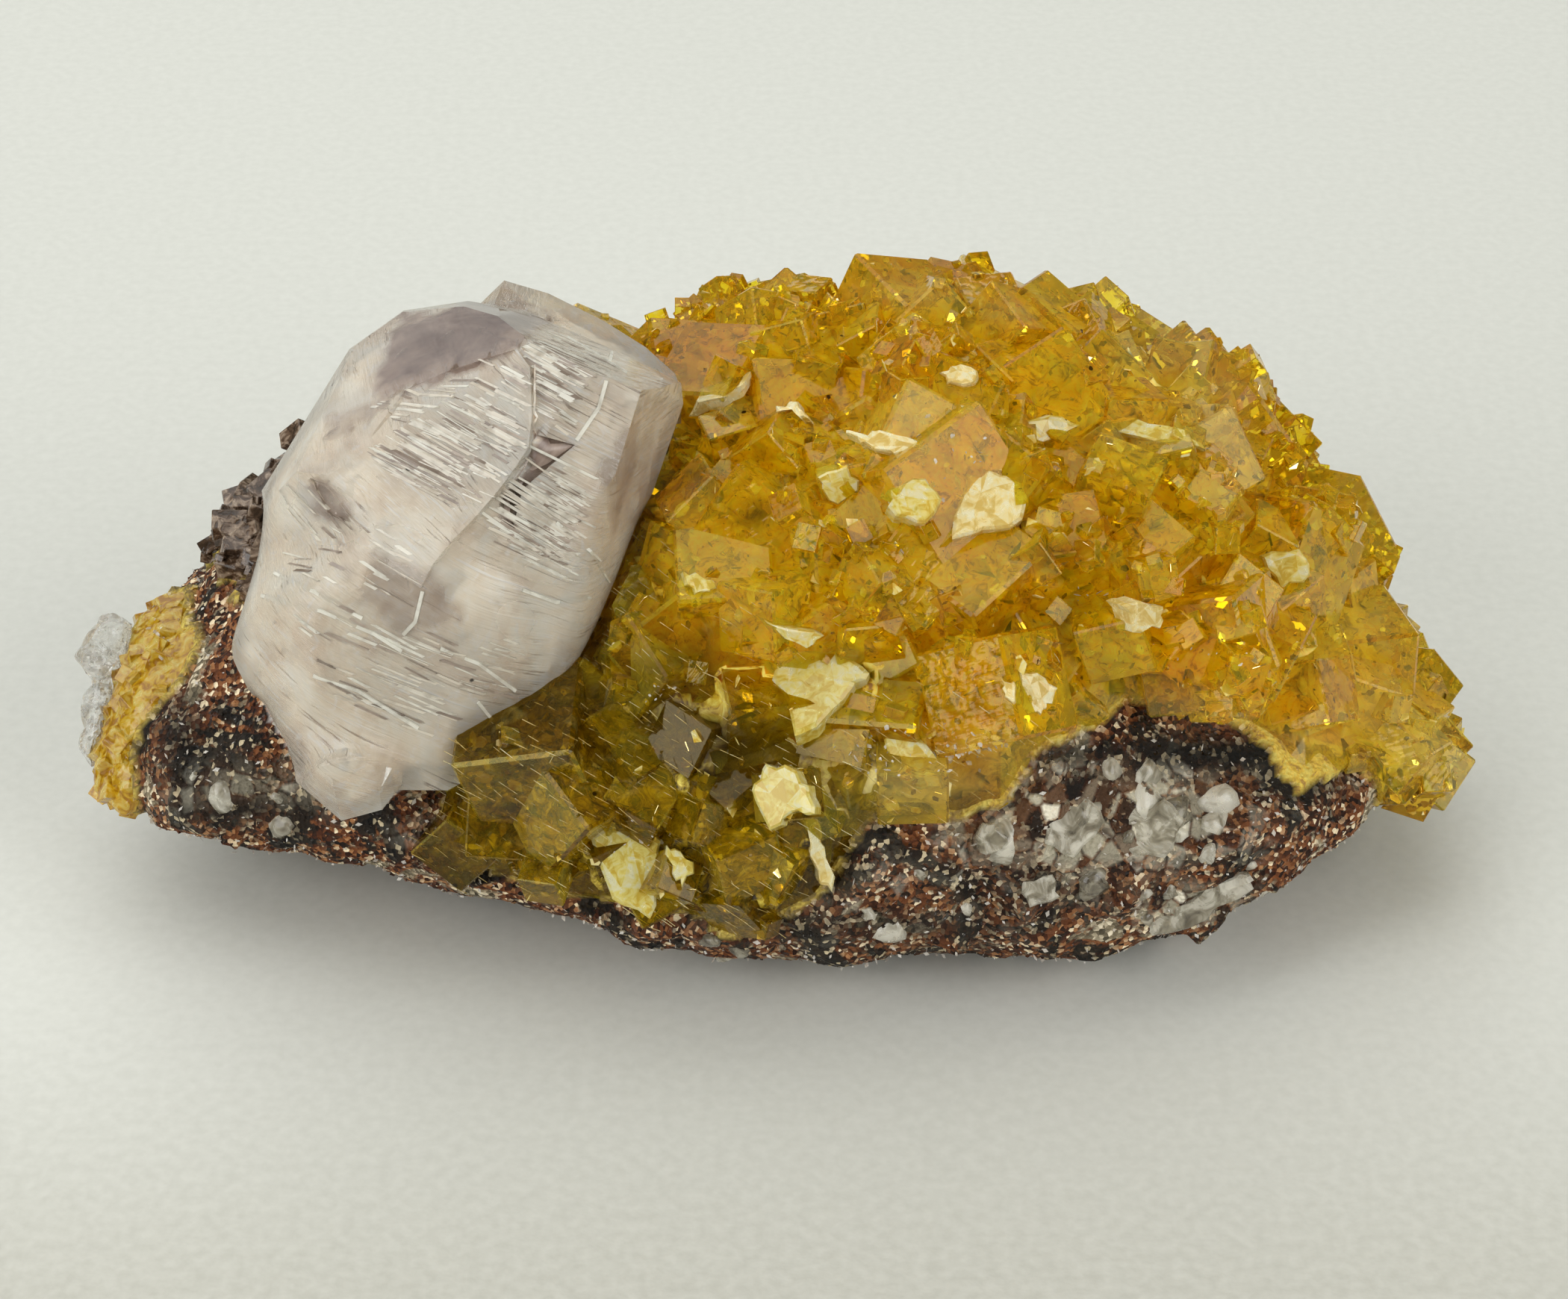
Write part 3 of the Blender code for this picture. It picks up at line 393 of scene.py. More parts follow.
def coats_of_rock():
    """Search trees of what grows on the rock."""
    return [tree_of_node(name) for name in ("fluorite_crust", "fluorite_left", "calcite_main", "brown_druse")]


def away_from_rock(distance):
    """A rule that is 1 where a place lies further from the rock than given in mm, and 0 nearer."""
    rock = tree_of_node("matrix_rock")
    return lambda place: 1.0 if rock.find_nearest(place)[3] > distance * MM else 0.0


def applied(piece):
    """The piece with its modifiers' result as its own plain mesh."""
    graph = bpy.context.evaluated_depsgraph_get()
    mesh = bpy.data.meshes.new_from_object(piece.evaluated_get(graph))
    piece.modifiers.clear()
    old = piece.data
    piece.data = mesh
    mesh.name = piece.name
    bpy.data.meshes.remove(old)
    return piece


def discard(piece):
    mesh = piece.data
    bpy.data.objects.remove(piece, do_unlink=True)
    bpy.data.meshes.remove(mesh)


def combined(body, operation, solids):
    """Joins separate solids to a body, or cuts them out of it."""
    group = bpy.data.collections.new("solids")
    bpy.context.scene.collection.children.link(group)
    for index, bm in enumerate(solids):
        piece = object_from(bm, f"solid_{index}")
        bpy.context.scene.collection.objects.unlink(piece)
        group.objects.link(piece)
    modifier = body.modifiers.new("Combined", "BOOLEAN")
    modifier.operation = operation
    modifier.solver = "MANIFOLD"
    modifier.operand_type = "COLLECTION"
    modifier.collection = group
    applied(body)
    for piece in list(group.objects):
        discard(piece)
    bpy.data.collections.remove(group)
    return body


def voxel_remeshed(piece, size):
    modifier = piece.modifiers.new("Remesh", "REMESH")
    modifier.mode = "VOXEL"
    modifier.voxel_size = size
    return applied(piece)


def reshaped(piece, rule):
    """Moves each vertex to where a rule puts it, from its place and its normal."""
    bm = mesh_copy(piece)
    bm.normal_update()
    for vertex in bm.verts:
        vertex.co = rule(vertex.co, vertex.normal)
    bm.to_mesh(piece.data)
    bm.free()


def split_long_edges(bm, longest, cuts):
    long_edges = [edge for edge in bm.edges if edge.calc_length() > longest]
    bmesh.ops.subdivide_edges(bm, edges=long_edges, cuts=cuts, use_grid_fill=True)
    bmesh.ops.triangulate(bm, faces=bm.faces[:])


def finer(piece, longest):
    """Splits the long edges of a mesh so that painted values have vertices to sit on."""
    bm = mesh_copy(piece)
    bmesh.ops.triangulate(bm, faces=bm.faces[:])
    for _ in range(3):
        split_long_edges(bm, longest, 1)
    bm.to_mesh(piece.data)
    bm.free()


def shaded_smooth(piece):
    piece.data.polygons.foreach_set("use_smooth", [True] * len(piece.data.polygons))


def fractal(point, size, seed, octaves=3):
    return noise.fractal(point / size + Vector((seed, 0.0, 0.0)), 0.9, 2.1, octaves)


def stored(piece, name, values, domain="POINT"):
    """Stores a value for each vertex or face of a piece."""
    layer = piece.data.attributes.new(name, "FLOAT", domain)
    layer.data.foreach_set("value", values)


def tone_by_face(piece, seed):
    """Gives every flat face of the crystals a tone of its own, which follows from its plane alone."""
    values = []
    for face in piece.data.polygons:
        offset = face.normal.dot(face.center) / (0.1 * MM)
        plane = tuple(round(c * 20.0) for c in face.normal) + (round(offset),)
        values.append(random.Random(f"{seed} {plane}").random())
    stored(piece, "tone", values, "FACE")


def tone_by_clast(clasts, faces_each, seed):
    """Gives every clast a tone of its own."""
    rng = random.Random(seed)
    values = []
    while len(values) < len(clasts.data.polygons):
        values += [rng.uniform(0.36, 0.95)] * faces_each
    stored(clasts, "tone", values, "FACE")


def finish_piece(piece, node_names):
    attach(piece, "root")
    if node_names:
        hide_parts(*node_names)
    return piece


def walls(rings, bm):
    """The side faces between rings of as many vertices each."""
    faces = []
    for low, high in zip(rings, rings[1:]):
        for k in range(len(low)):
            n = (k + 1) % len(low)
            faces.append(bm.faces.new((low[k], low[n], high[n], high[k])))
    return faces


def closed_between(rings, bm):
    """The faces of a closed solid through rings of as many vertices each."""
    ends = [bm.faces.new(list(reversed(rings[0]))), bm.faces.new(rings[-1])]
    return ends + walls(rings, bm)


# Places picked on the photograph


def photo_ray(px, py):
    across = (px - PHOTO_WIDTH / 2.0) / FOCAL_PIXELS
    up = (PHOTO_HEIGHT / 2.0 - py) / FOCAL_PIXELS
    return (-CAMERA_BACK + Vector((1.0, 0.0, 0.0)) * across + CAMERA_UP * up).normalized()


def photo_pixel(place):
    """The pixel at which the photograph shows a place."""
    offset = place - CAMERA_PLACE
    depth = -offset.dot(CAMERA_BACK)
    across = offset.x / depth * FOCAL_PIXELS
    up = offset.dot(CAMERA_UP) / depth * FOCAL_PIXELS
    return PHOTO_WIDTH / 2.0 + across, PHOTO_HEIGHT / 2.0 - up


def inside(outline, px, py):
    """Whether a pixel lies inside an outline of pixels."""
    crossings = 0
    for (ax, ay), (bx, by) in zip(outline, outline[1:] + outline[:1]):
        if (ay > py) != (by > py) and px < ax + (py - ay) * (bx - ax) / (by - ay):
            crossings += 1
    return crossings % 2 == 1


def spot_share(spots, px, py):
    """How strongly a pixel is touched by soft round spots: each has a middle, two reaches and a strength."""
    share = 0.0
    for x, y, reach_x, reach_y, strength in spots:
        share = max(share, strength * math.exp(-(((px - x) / reach_x) ** 2) - ((py - y) / reach_y) ** 2))
    return share


def seen_on(tree, px, py):
    """The point of the surface that the photograph shows at this pixel, and its normal there."""
    place, normal, _, _ = tree.ray_cast(CAMERA_PLACE, photo_ray(px, py))
    return place, normal


def painted(piece, name, outlines=(), spots=()):
    """A value at each vertex from outlines and soft round spots picked on the photograph."""
    values = []
    for vertex in piece.data.vertices:
        px, py = photo_pixel(vertex.co)
        value = max((share for outline, share in outlines if inside(outline, px, py)), default=0.0)
        values.append(max(value, spot_share(spots, px, py)))
    stored(piece, name, values)


def height_over_low_front(place):
    return Vector(LOWER_FRONT_SLOPE).dot(place) - LOWER_FRONT_EDGE


# Nodes


def fill(tree, made, inputs):
    """Links each input of a node from a socket, or sets it to a value."""
    for name, value in inputs.items():
        if isinstance(value, bpy.types.NodeSocket):
            tree.links.new(value, made.inputs[name])
        else:
            made.inputs[name].default_value = value


def node(tree, kind, inputs=None, **settings):
    """A node with its settings and its inputs."""
    made = tree.nodes.new(kind)
    for name, value in settings.items():
        setattr(made, name, value)
    fill(tree, made, inputs or {})
    return made


def new_group(name, kind, inputs, output):
    """A node group with named inputs and one output, and the sockets by which its inputs come in."""
    tree = bpy.data.node_groups.new(name, kind)
    for label, socket_type in inputs:
        tree.interface.new_socket(label, in_out="INPUT", socket_type=socket_type)
    tree.interface.new_socket(output[0], in_out="OUTPUT", socket_type=output[1])
    return tree, tree.nodes.new("NodeGroupInput").outputs


def math_node(tree, operation, first, second=0.0, clamp=False):
    made = node(tree, "ShaderNodeMath", {0: first, 1: second}, operation=operation, use_clamp=clamp)
    return made.outputs[0]


def times(tree, first, second, clamp=False):
    return math_node(tree, "MULTIPLY", first, second, clamp)


def vector_times(tree, vector, scale):
    return node(tree, "ShaderNodeVectorMath", {0: vector, "Scale": scale}, operation="SCALE").outputs[0]


def weighted(tree, *shares):
    """The sum of values, each times its weight."""
    total = None
    for value, weight in shares:
        part = value if weight == 1.0 else times(tree, value, weight)
        total = part if total is None else math_node(tree, "ADD", total, part)
    return total


def mapped(tree, value, low, high, to_low=0.0, to_high=1.0, smooth=False):
    """A value carried over from one range to another."""
    inputs = {"Value": value, "From Min": low, "From Max": high, "To Min": to_low, "To Max": to_high}
    kind = "SMOOTHSTEP" if smooth else "LINEAR"
    return node(tree, "ShaderNodeMapRange", inputs, interpolation_type=kind).outputs["Result"]


def noise_node(tree, place, scale, detail=3.0, distortion=0.0, rough=0.5, output="Fac"):
    inputs = {"Scale": scale, "Detail": detail, "Distortion": distortion, "Roughness": rough}
    if place:
        inputs["Vector"] = place
    return node(tree, "ShaderNodeTexNoise", inputs).outputs[output]


# Geometry Nodes: crystals scattered over a surface


def new_scatter_tree():
    """Crystals at random places and turns on a surface, as dense and as large as its attributes say."""
    inputs = [("Surface", GEOMETRY), ("Crystal", "NodeSocketObject"), ("Material", "NodeSocketMaterial")]
    inputs += [(name, FLOAT) for name, _ in SCATTER_SIZES[:-1]] + [("Seed", "NodeSocketInt")]
    tree, given = new_group("scattered_crystals", "GeometryNodeTree", inputs, ("Crystals", GEOMETRY))

    def own(name):
        found = node(tree, "GeometryNodeInputNamedAttribute", {"Name": name}, data_type="FLOAT")
        return found.outputs["Attribute"]

    spread = node(
        tree,
        "GeometryNodeDistributePointsOnFaces",
        {
            "Mesh": given["Surface"],
            "Distance Min": given["Spacing"],
            "Density Max": given["Density"],
            "Density Factor": own("growth"),
            "Seed": given["Seed"],
        },
        distribute_method="POISSON",
    ).outputs
    index = tree.nodes.new("GeometryNodeInputIndex").outputs[0]
    chance = node(tree, "FunctionNodeRandomValue", {"ID": index, "Seed": given["Seed"]}, data_type="FLOAT")
    skewed = math_node(tree, "POWER", chance.outputs["Value"], 1.7)
    size = times(tree, mapped(tree, skewed, 0.0, 1.0, given["Smallest"], given["Largest"]), own("coarse"))
    down = times(tree, times(tree, size, given["Sink"]), -1.0)
    # The size is worked out before the points move, so it is kept on them.
    kept = node(
        tree,
        "GeometryNodeStoreNamedAttribute",
        {"Geometry": spread["Points"], "Name": "crystal_size", "Value": size},
        data_type="FLOAT",
        domain="POINT",
    )
    moved = node(
        tree,
        "GeometryNodeSetPosition",
        {"Geometry": kept.outputs["Geometry"], "Offset": vector_times(tree, spread["Normal"], down)},
    )
    # Neighbours stand nearly parallel: their turn drifts slowly over the surface, with a little chance added.
    slow = noise_node(tree, None, DRIFT_SCALE, 0.0, output="Color")
    drifting = node(tree, "FunctionNodeEulerToRotation", {"Euler": vector_times(tree, slow, given["Drift"])})
    upright = node(
        tree,
        "FunctionNodeAlignRotationToVector",
        {"Rotation": drifting.outputs[0], "Factor": given["Aligned"], "Vector": spread["Normal"]},
        axis="Z",
    )
    turn = node(
        tree,
        "FunctionNodeRandomValue",
        {0: (-1.0, -1.0, -1.0), 1: (1.0, 1.0, 1.0), "Seed": given["Seed"]},
        data_type="FLOAT_VECTOR",
    )
    angles = vector_times(tree, turn.outputs["Value"], given["Turn"])
    turned = node(tree, "FunctionNodeEulerToRotation", {"Euler": angles})
    both = node(
        tree,
        "FunctionNodeRotateRotation",
        {"Rotation": upright.outputs[0], "Rotate By": turned.outputs["Rotation"]},
        rotation_space="LOCAL",
    )
    crystal = node(tree, "GeometryNodeObjectInfo", {"Object": given["Crystal"]})
    placed = node(
        tree,
        "GeometryNodeInstanceOnPoints",
        {
            "Points": moved.outputs["Geometry"],
            "Instance": crystal.outputs["Geometry"],
            "Rotation": both.outputs["Rotation"],
            "Scale": own("crystal_size"),
        },
    )
    real = node(tree, "GeometryNodeRealizeInstances", {"Geometry": placed.outputs["Instances"]})
    finished = node(
        tree, "GeometryNodeSetMaterial", {"Geometry": real.outputs["Geometry"], "Material": given["Material"]}
    )
    node(tree, "NodeGroupOutput", {"Crystals": finished.outputs["Geometry"]})
    return tree


def even(place):
    return 1.0


def grow_over(scatter, ground_bm, shape, name, surface, growth, coarse=even):
    """Crystals scattered over a surface as the table says, as a plain mesh of their own."""
    ground = object_from(ground_bm, name + "_ground")
    for attribute, rule in (("growth", growth), ("coarse", coarse)):
        stored(ground, attribute, [rule(vertex.co) for vertex in ground.data.vertices])
    piece = bpy.data.objects.new(name, ground.data)
    bpy.context.scene.collection.objects.link(piece)
    modifier = piece.modifiers.new("Crystals", "NODES")
    modifier.node_group = scatter
    inputs = {item.name: item.identifier for item in scatter.interface.items_tree if item.in_out == "INPUT"}
    modifier[inputs["Crystal"]] = shape
    modifier[inputs["Material"]] = surface
    for (size, unit), value in zip(SCATTER_SIZES, SCATTERED[name]):
        modifier[inputs[size]] = value * unit
    graph = bpy.context.evaluated_depsgraph_get()
    mesh = bpy.data.meshes.new_from_object(piece.evaluated_get(graph))
    piece.modifiers.clear()
    piece.data = mesh
    mesh.name = name
    discard(ground)
    return piece


def unit_crystal(name, chamfer, stretch=(1.0, 1.0, 1.0)):
    """A cube of edge 1, stretched, with its edges chamfered."""
    bm = bmesh.new()
    bmesh.ops.create_cube(bm, size=1.0)
    bmesh.ops.scale(bm, vec=stretch, verts=bm.verts)
    if chamfer:
        bmesh.ops.bevel(bm, geom=bm.edges[:], offset=chamfer, segments=1, affect="EDGES")
    return object_from(bm, name)


def flake_shape(name, sides, seed):
    """A thin uneven flake, 1 across."""
    rng = random.Random(seed)
    bm = bmesh.new()
    radii = [rng.uniform(0.3, 0.55) for _ in range(sides)]
    rings = []
    for level in (-0.012, 0.012):
        ring = []
        for k, radius in enumerate(radii):
            angle = math.tau * k / sides
            ring.append(bm.verts.new((radius * math.cos(angle), 0.6 * radius * math.sin(angle), level)))
        rings.append(ring)
    closed_between(rings, bm)
    return object_from(bm, name)


def pebble_shape(name, seed, flatness, subdivisions=1):
    bm = bmesh.new()
    bmesh.ops.create_icosphere(bm, subdivisions=subdivisions, radius=0.5)
    for vertex in bm.verts:
        grow = 1.0 + 0.45 * noise.noise(vertex.co * 2.2 + Vector((seed, 0.0, 0.0)))
        vertex.co = Vector((vertex.co.x * grow, vertex.co.y * grow, vertex.co.z * grow * flatness))
    return object_from(bm, name)


def grown_together(body, crystals, vertices_each):
    """Joins crystals to a body as one closed surface, those that don't touch each other at once."""
    places = [vertex.co.copy() for vertex in crystals.data.vertices]
    faces = [list(face.vertices) for face in crystals.data.polygons]
    faces_each = len(faces) * vertices_each // len(places)
    layers = []
    for first in range(0, len(places), vertices_each):
        own = places[first : first + vertices_each]
        middle = sum(own, Vector()) / vertices_each
        radius = max((place - middle).length for place in own)
        for layer in layers:
            if all((middle - other).length > radius + size for other, size, _ in layer):
                break
        else:
            layer = []
            layers.append(layer)
        layer.append((middle, radius, first))
    solids = []
    for layer in layers:
        bm = bmesh.new()
        for _, _, first in layer:
            made = [bm.verts.new(place) for place in places[first : first + vertices_each]]
            first_face = first // vertices_each * faces_each
            for face in faces[first_face : first_face + faces_each]:
                bm.faces.new([made[k - first] for k in face])
        solids.append(bm)
    discard(crystals)
    return combined(body, "UNION", solids)


# Materials


def rgba(value):
    """A colour as nodes take it, from a socket, from red, green and blue, or from a level of grey."""
    if isinstance(value, bpy.types.NodeSocket):
        return value
    return (*value, 1.0) if isinstance(value, tuple) else (value, value, value, 1.0)


def ramp(tree, source, *stops):
    """A colour for each value, between stops of a position and a colour."""
    made = node(tree, "ShaderNodeValToRGB", {"Fac": source})
    elements = made.color_ramp.elements
    while len(elements) < len(stops):
        elements.new(0.5)
    for element, (position, value) in zip(elements, stops):
        element.position = position
        element.color = rgba(value)
    return made.outputs["Color"]


def toned(tree, source, positions, tones):
    return ramp(tree, source, *zip(positions, tones))


def mixed(tree, factor, first, second, blend="MIX"):
    inputs = {0: factor, 6: rgba(first), 7: rgba(second)}
    return node(tree, "ShaderNodeMix", inputs, data_type="RGBA", blend_type=blend).outputs[2]


def overlaid(tree, body, mask, top, strength=1.0):
    """The body's colour with another laid over it where a mask shows it."""
    return mixed(tree, weighted(tree, (mask, strength)), body, top)


def object_place(tree, turn=None, scale=None):
    """Object coordinates, turned and then stretched."""
    place = tree.nodes.new("ShaderNodeTexCoord").outputs["Object"]
    if turn:
        turned = node(tree, "ShaderNodeMapping", {"Vector": place, "Rotation": turn}).outputs[0]
        place = node(tree, "ShaderNodeMapping", {"Vector": turned, "Scale": scale}).outputs[0]
    return place


def own_value(tree, name):
    """A value painted on the piece's vertices or faces."""
    return node(tree, "ShaderNodeAttribute", attribute_name=name).outputs["Fac"]


def cells_of(tree, place, scale):
    """Cells of a rock, with a random colour's channels for each."""
    cells = node(tree, "ShaderNodeTexVoronoi", {"Vector": place, "Scale": scale}).outputs
    return cells["Distance"], node(tree, "ShaderNodeSeparateColor", {"Color": cells["Color"]}).outputs


def new_speck_group():
    """Small scattered specks as a mask."""
    inputs = [("Place", VECTOR), ("Scale", FLOAT), ("Radius", FLOAT), ("Share", FLOAT)]
    tree, given = new_group("specks", "ShaderNodeTree", inputs, ("Mask", FLOAT))
    distance, channels = cells_of(tree, given["Place"], given["Scale"])
    near = math_node(tree, "LESS_THAN", distance, given["Radius"])
    rare = math_node(tree, "LESS_THAN", channels[0], given["Share"])
    node(tree, "NodeGroupOutput", {"Mask": times(tree, near, rare)})
    return tree


def new_veil_group():
    """Cloudy patches with soft edges as a mask."""
    sizes = ("Scale", "Threshold", "Softness", "Distortion")
    inputs = [("Place", VECTOR)] + [(name, FLOAT) for name in sizes]
    tree, given = new_group("veils", "ShaderNodeTree", inputs, ("Mask", FLOAT))
    clouds = noise_node(tree, given["Place"], given["Scale"], 3.0, given["Distortion"], 0.6)
    top = math_node(tree, "ADD", given["Threshold"], given["Softness"])
    node(tree, "NodeGroupOutput", {"Mask": mapped(tree, clouds, given["Threshold"], top, smooth=True)})
    return tree


def shader_group(tree, group, place, **values):
    made = tree.nodes.new("ShaderNodeGroup")
    made.node_tree = group
    fill(tree, made, {"Place": place, **{name.title(): value for name, value in values.items()}})
    return made.outputs[0]


def new_material(name):
    made = bpy.data.materials.new(name)
    made.use_nodes = True
    return made, made.node_tree, made.node_tree.nodes["Principled BSDF"]


def set_shader(tree, shader, **values):
    fill(tree, shader, {name.replace("_", " "): value for name, value in values.items()})


def bump(tree, shader, height, distance, strength):
    made = node(tree, "ShaderNodeBump", {"Height": height, "Distance": distance, "Strength": strength})
    fill(tree, shader, {"Normal": made.outputs["Normal"]})


def clear_inside(tree, tint, density):
    """Absorption inside a clear crystal."""
    inside = node(tree, "ShaderNodeVolumeAbsorption", {"Color": rgba(tint), "Density": density})
    fill(tree, tree.nodes["Material Output"], {"Volume": inside.outputs["Volume"]})


def lower_front(tree, place):
    """1 low on the front left of the crust, where it is olive brown, and 0 above and to the right."""
    height = node(tree, "ShaderNodeVectorMath", {0: place, 1: LOWER_FRONT_SLOPE}, operation="DOT_PRODUCT")
    wavy = noise_node(tree, place, 140.0, 2.0, 0.5)
    level = weighted(tree, (height.outputs["Value"], 1.0), (wavy, LOWER_FRONT_WANDER))
    top = LOWER_FRONT_EDGE + LOWER_FRONT_SOFTNESS
    return mapped(tree, level, LOWER_FRONT_EDGE, top, 1.0, 0.0, smooth=True)


def fluorite_material(groups):
    """Clear honey-yellow fluorite: mottled, with pale veils and dark specks, olive brown low at the front."""
    material, tree, shader = new_material("honey_fluorite_finish")
    place = object_place(tree)
    broad = noise_node(tree, place, 170.0, 2.0)
    fine = noise_node(tree, place, 900.0, 3.0, 0.0, 0.65)
    shades = weighted(tree, (broad, 0.36), (fine, 0.36), (own_value(tree, "tone"), 0.28))
    amber = toned(tree, shades, (0.36, 0.48, 0.62), AMBER_TONES)
    olive = toned(tree, shades, (0.38, 0.52, 0.68), OLIVE_TONES)
    low = lower_front(tree, place)
    body = mixed(tree, low, amber, olive)
    soft = groups["veils"]
    clouds = shader_group(tree, soft, place, scale=260.0, threshold=0.56, softness=0.16, distortion=1.5)
    body = overlaid(tree, body, clouds, mixed(tree, low, VEIL_AMBER, VEIL_OLIVE), 0.6)
    body = overlaid(tree, body, own_value(tree, "pale"), (1.0, 0.92, 0.46), 0.6)
    # Painted shade: the crust's crevices and hollows turn deep brown amber.
    body = overlaid(tree, body, own_value(tree, "deep"), (0.20, 0.11, 0.004), 0.8)
    dots = shader_group(tree, groups["specks"], place, scale=420.0, radius=0.09, share=0.12)
    body = overlaid(tree, body, dots, (0.02, 0.012, 0.004))
    set_shader(tree, shader, Base_Color=body, Roughness=mapped(tree, fine, 0.4, 0.8, 0.01, 0.12))
    set_shader(tree, shader, Transmission_Weight=0.86, IOR=FLUORITE_IOR, Specular_IOR_Level=0.16)
    set_shader(tree, shader, Specular_Tint=rgba((1.0, 0.90, 0.60)))
    along = object_place(tree, (0.0, math.radians(35.0), 0.0), (200.0, 900.0, 3200.0))
    lines = noise_node(tree, along, 1.0, 1.0)
    grain = noise_node(tree, place, 900.0, 1.0, 0.0, 0.65)
    bump(tree, shader, weighted(tree, (grain, 1.0), (lines, 0.5)), 0.06 * MM, 0.6)
    clear_inside(tree, (1.0, 0.88, 0.12), 90.0)
    return material


def core_material():
    """The crust's cloudy inside: mottled amber, olive brown low at the front."""
    material, tree, shader = new_material("cloudy_core_finish")
    place = object_place(tree)
    mottle = noise_node(tree, place, 480.0, 4.0, 1.5, 0.72)
    amber = toned(tree, mottle, (0.36, 0.46, 0.58), UNDER_AMBER)
    olive = toned(tree, mottle, (0.40, 0.52, 0.66), UNDER_OLIVE)
    body = mixed(tree, lower_front(tree, place), amber, olive)
    # Painted shade: the cloudy inside turns dark under the crust's crevices and hollows.
    body = overlaid(tree, body, own_value(tree, "deep"), (0.05, 0.025, 0.004), 0.9)
    body = overlaid(tree, body, own_value(tree, "pale"), (1.0, 0.90, 0.52), 0.9)
    set_shader(tree, shader, Base_Color=body, Roughness=0.5)
    return material


def calcite_lines(tree, place):
    """Fine straight lines along the striations, and the patches where they show."""
    along = object_place(tree, (0.0, math.radians(-STRIATION_SLOPE), 0.0), (60.0, 300.0, 3600.0))
    lines = noise_node(tree, along, 1.0, 4.0, 0.25, 0.7)
    patches = noise_node(tree, place, 190.0, 2.0, 0.6)
    return lines, ramp(tree, patches, (0.44, 0.0), (0.52, 1.0))


def calcite_material(groups):
    """The clear outside of the calcite: pale lilac, finely lined, with dusky smooth faces darkened partly by
    painted shade, and clouds.
    """
    material, tree, shader = new_material("lilac_calcite_finish")
    place = object_place(tree)
    dusk = own_value(tree, "dusk")
    clouds = noise_node(tree, place, 150.0, 4.0, 1.2, 0.65)
    body = toned(tree, clouds, (0.36, 0.50, 0.64), CALCITE_TONES)
    soft = groups["veils"]
    veils = shader_group(tree, soft, place, scale=420.0, threshold=0.56, softness=0.14, distortion=2.0)
    body = overlaid(tree, body, veils, (1.0, 1.0, 0.98), 0.7)
    lines, lined = calcite_lines(tree, place)
    dark_lines = ramp(tree, lines, (0.37, 1.0), (0.40, 0.0))
    pale_lines = ramp(tree, lines, (0.59, 0.0), (0.62, 1.0))
    body = overlaid(tree, body, times(tree, dark_lines, lined), (0.40, 0.34, 0.29))
    body = overlaid(tree, body, times(tree, pale_lines, lined), (1.0, 1.0, 0.98))
    # Painted shade over the faces' own dusky mauve tint: the smooth faces and the sunk recess are darkened.
    dusky = ramp(tree, clouds, (0.35, (0.22, 0.15, 0.13)), (0.65, (0.54, 0.43, 0.37)))
    body = overlaid(tree, body, dusk, dusky)
    dots = shader_group(tree, groups["specks"], place, scale=420.0, radius=0.08, share=0.09)
    body = overlaid(tree, body, dots, (0.04, 0.035, 0.03))
    smooth = mapped(tree, dusk, 0.0, 1.0, 0.10, 0.03)
    rough = weighted(tree, (smooth, 1.0), (own_value(tree, "milk"), 0.35))
    set_shader(tree, shader, Base_Color=body, Roughness=rough, Transmission_Weight=0.70, IOR=CALCITE_IOR)
    bump(tree, shader, times(tree, lines, math_node(tree, "SUBTRACT", 1.0, dusk)), 0.16 * MM, 0.8)
    clear_inside(tree, (0.95, 0.89, 0.82), 8.0)
    return material


def growth_step_material():
    """The growth steps on the calcite: pale ones, and a few painted dark as shade so that they read as gaps.
    """
    material, tree, shader = new_material("growth_step_finish")
    body = toned(tree, own_value(tree, "tone"), (0.0, 0.25, 0.5, 1.0), STEP_TONES)
    clouds = noise_node(tree, object_place(tree), 700.0, 4.0, 0.8)
    mottle = ramp(tree, clouds, (0.38, (0.74, 0.72, 0.70)), (0.56, 1.0))
    rough = ramp(tree, clouds, (0.4, 0.08), (0.6, 0.26))
    set_shader(tree, shader, Base_Color=mixed(tree, 1.0, body, mottle, "MULTIPLY"), Roughness=rough)
    set_shader(tree, shader, Transmission_Weight=0.4, IOR=CALCITE_IOR)
    bump(tree, shader, clouds, 0.05 * MM, 0.6)
    return material


def calcite_core_material(groups):
    """The cloudy inside of the calcite: warm pale grey with milky clouds and a painted highlight, dark gaps,
    bright cracks, and painted shade under the dusky faces.
    """
    material, tree, shader = new_material("calcite_core_finish")
    place = object_place(tree)
    clouds = noise_node(tree, place, 130.0, 5.0, 1.6, 0.68)
    body = toned(tree, clouds, (0.34, 0.45, 0.56, 0.66), UNDER_CALCITE_TONES)
    lines, lined = calcite_lines(tree, place)
    body = overlaid(tree, body, ramp(tree, lines, (0.55, 0.0), (0.60, 1.0)), (1.0, 0.98, 0.93), 0.8)
    body = overlaid(tree, body, ramp(tree, lines, (0.38, 1.0), (0.44, 0.0)), (0.34, 0.27, 0.21), 0.6)
    sharp = groups["veils"]
    cracks = shader_group(tree, sharp, place, scale=340.0, threshold=0.58, softness=0.05, distortion=3.0)
    body = overlaid(tree, body, times(tree, cracks, lined), (1.0, 0.99, 0.96))
    # Milky clouds, and a painted highlight where the calcite glints white on the right.
    body = overlaid(tree, body, own_value(tree, "milk"), (1.0, 0.98, 0.95))
    # Painted shade over the dusky mauve tint, in the cloudy inside under the smooth faces and the sunk
    # recess.
    dusky = ramp(tree, clouds, (0.35, (0.16, 0.105, 0.090)), (0.65, (0.46, 0.36, 0.30)))
    body = overlaid(tree, body, own_value(tree, "dusk"), dusky)
    set_shader(tree, shader, Base_Color=body, Roughness=0.35, Specular_IOR_Level=0.6)
    return material


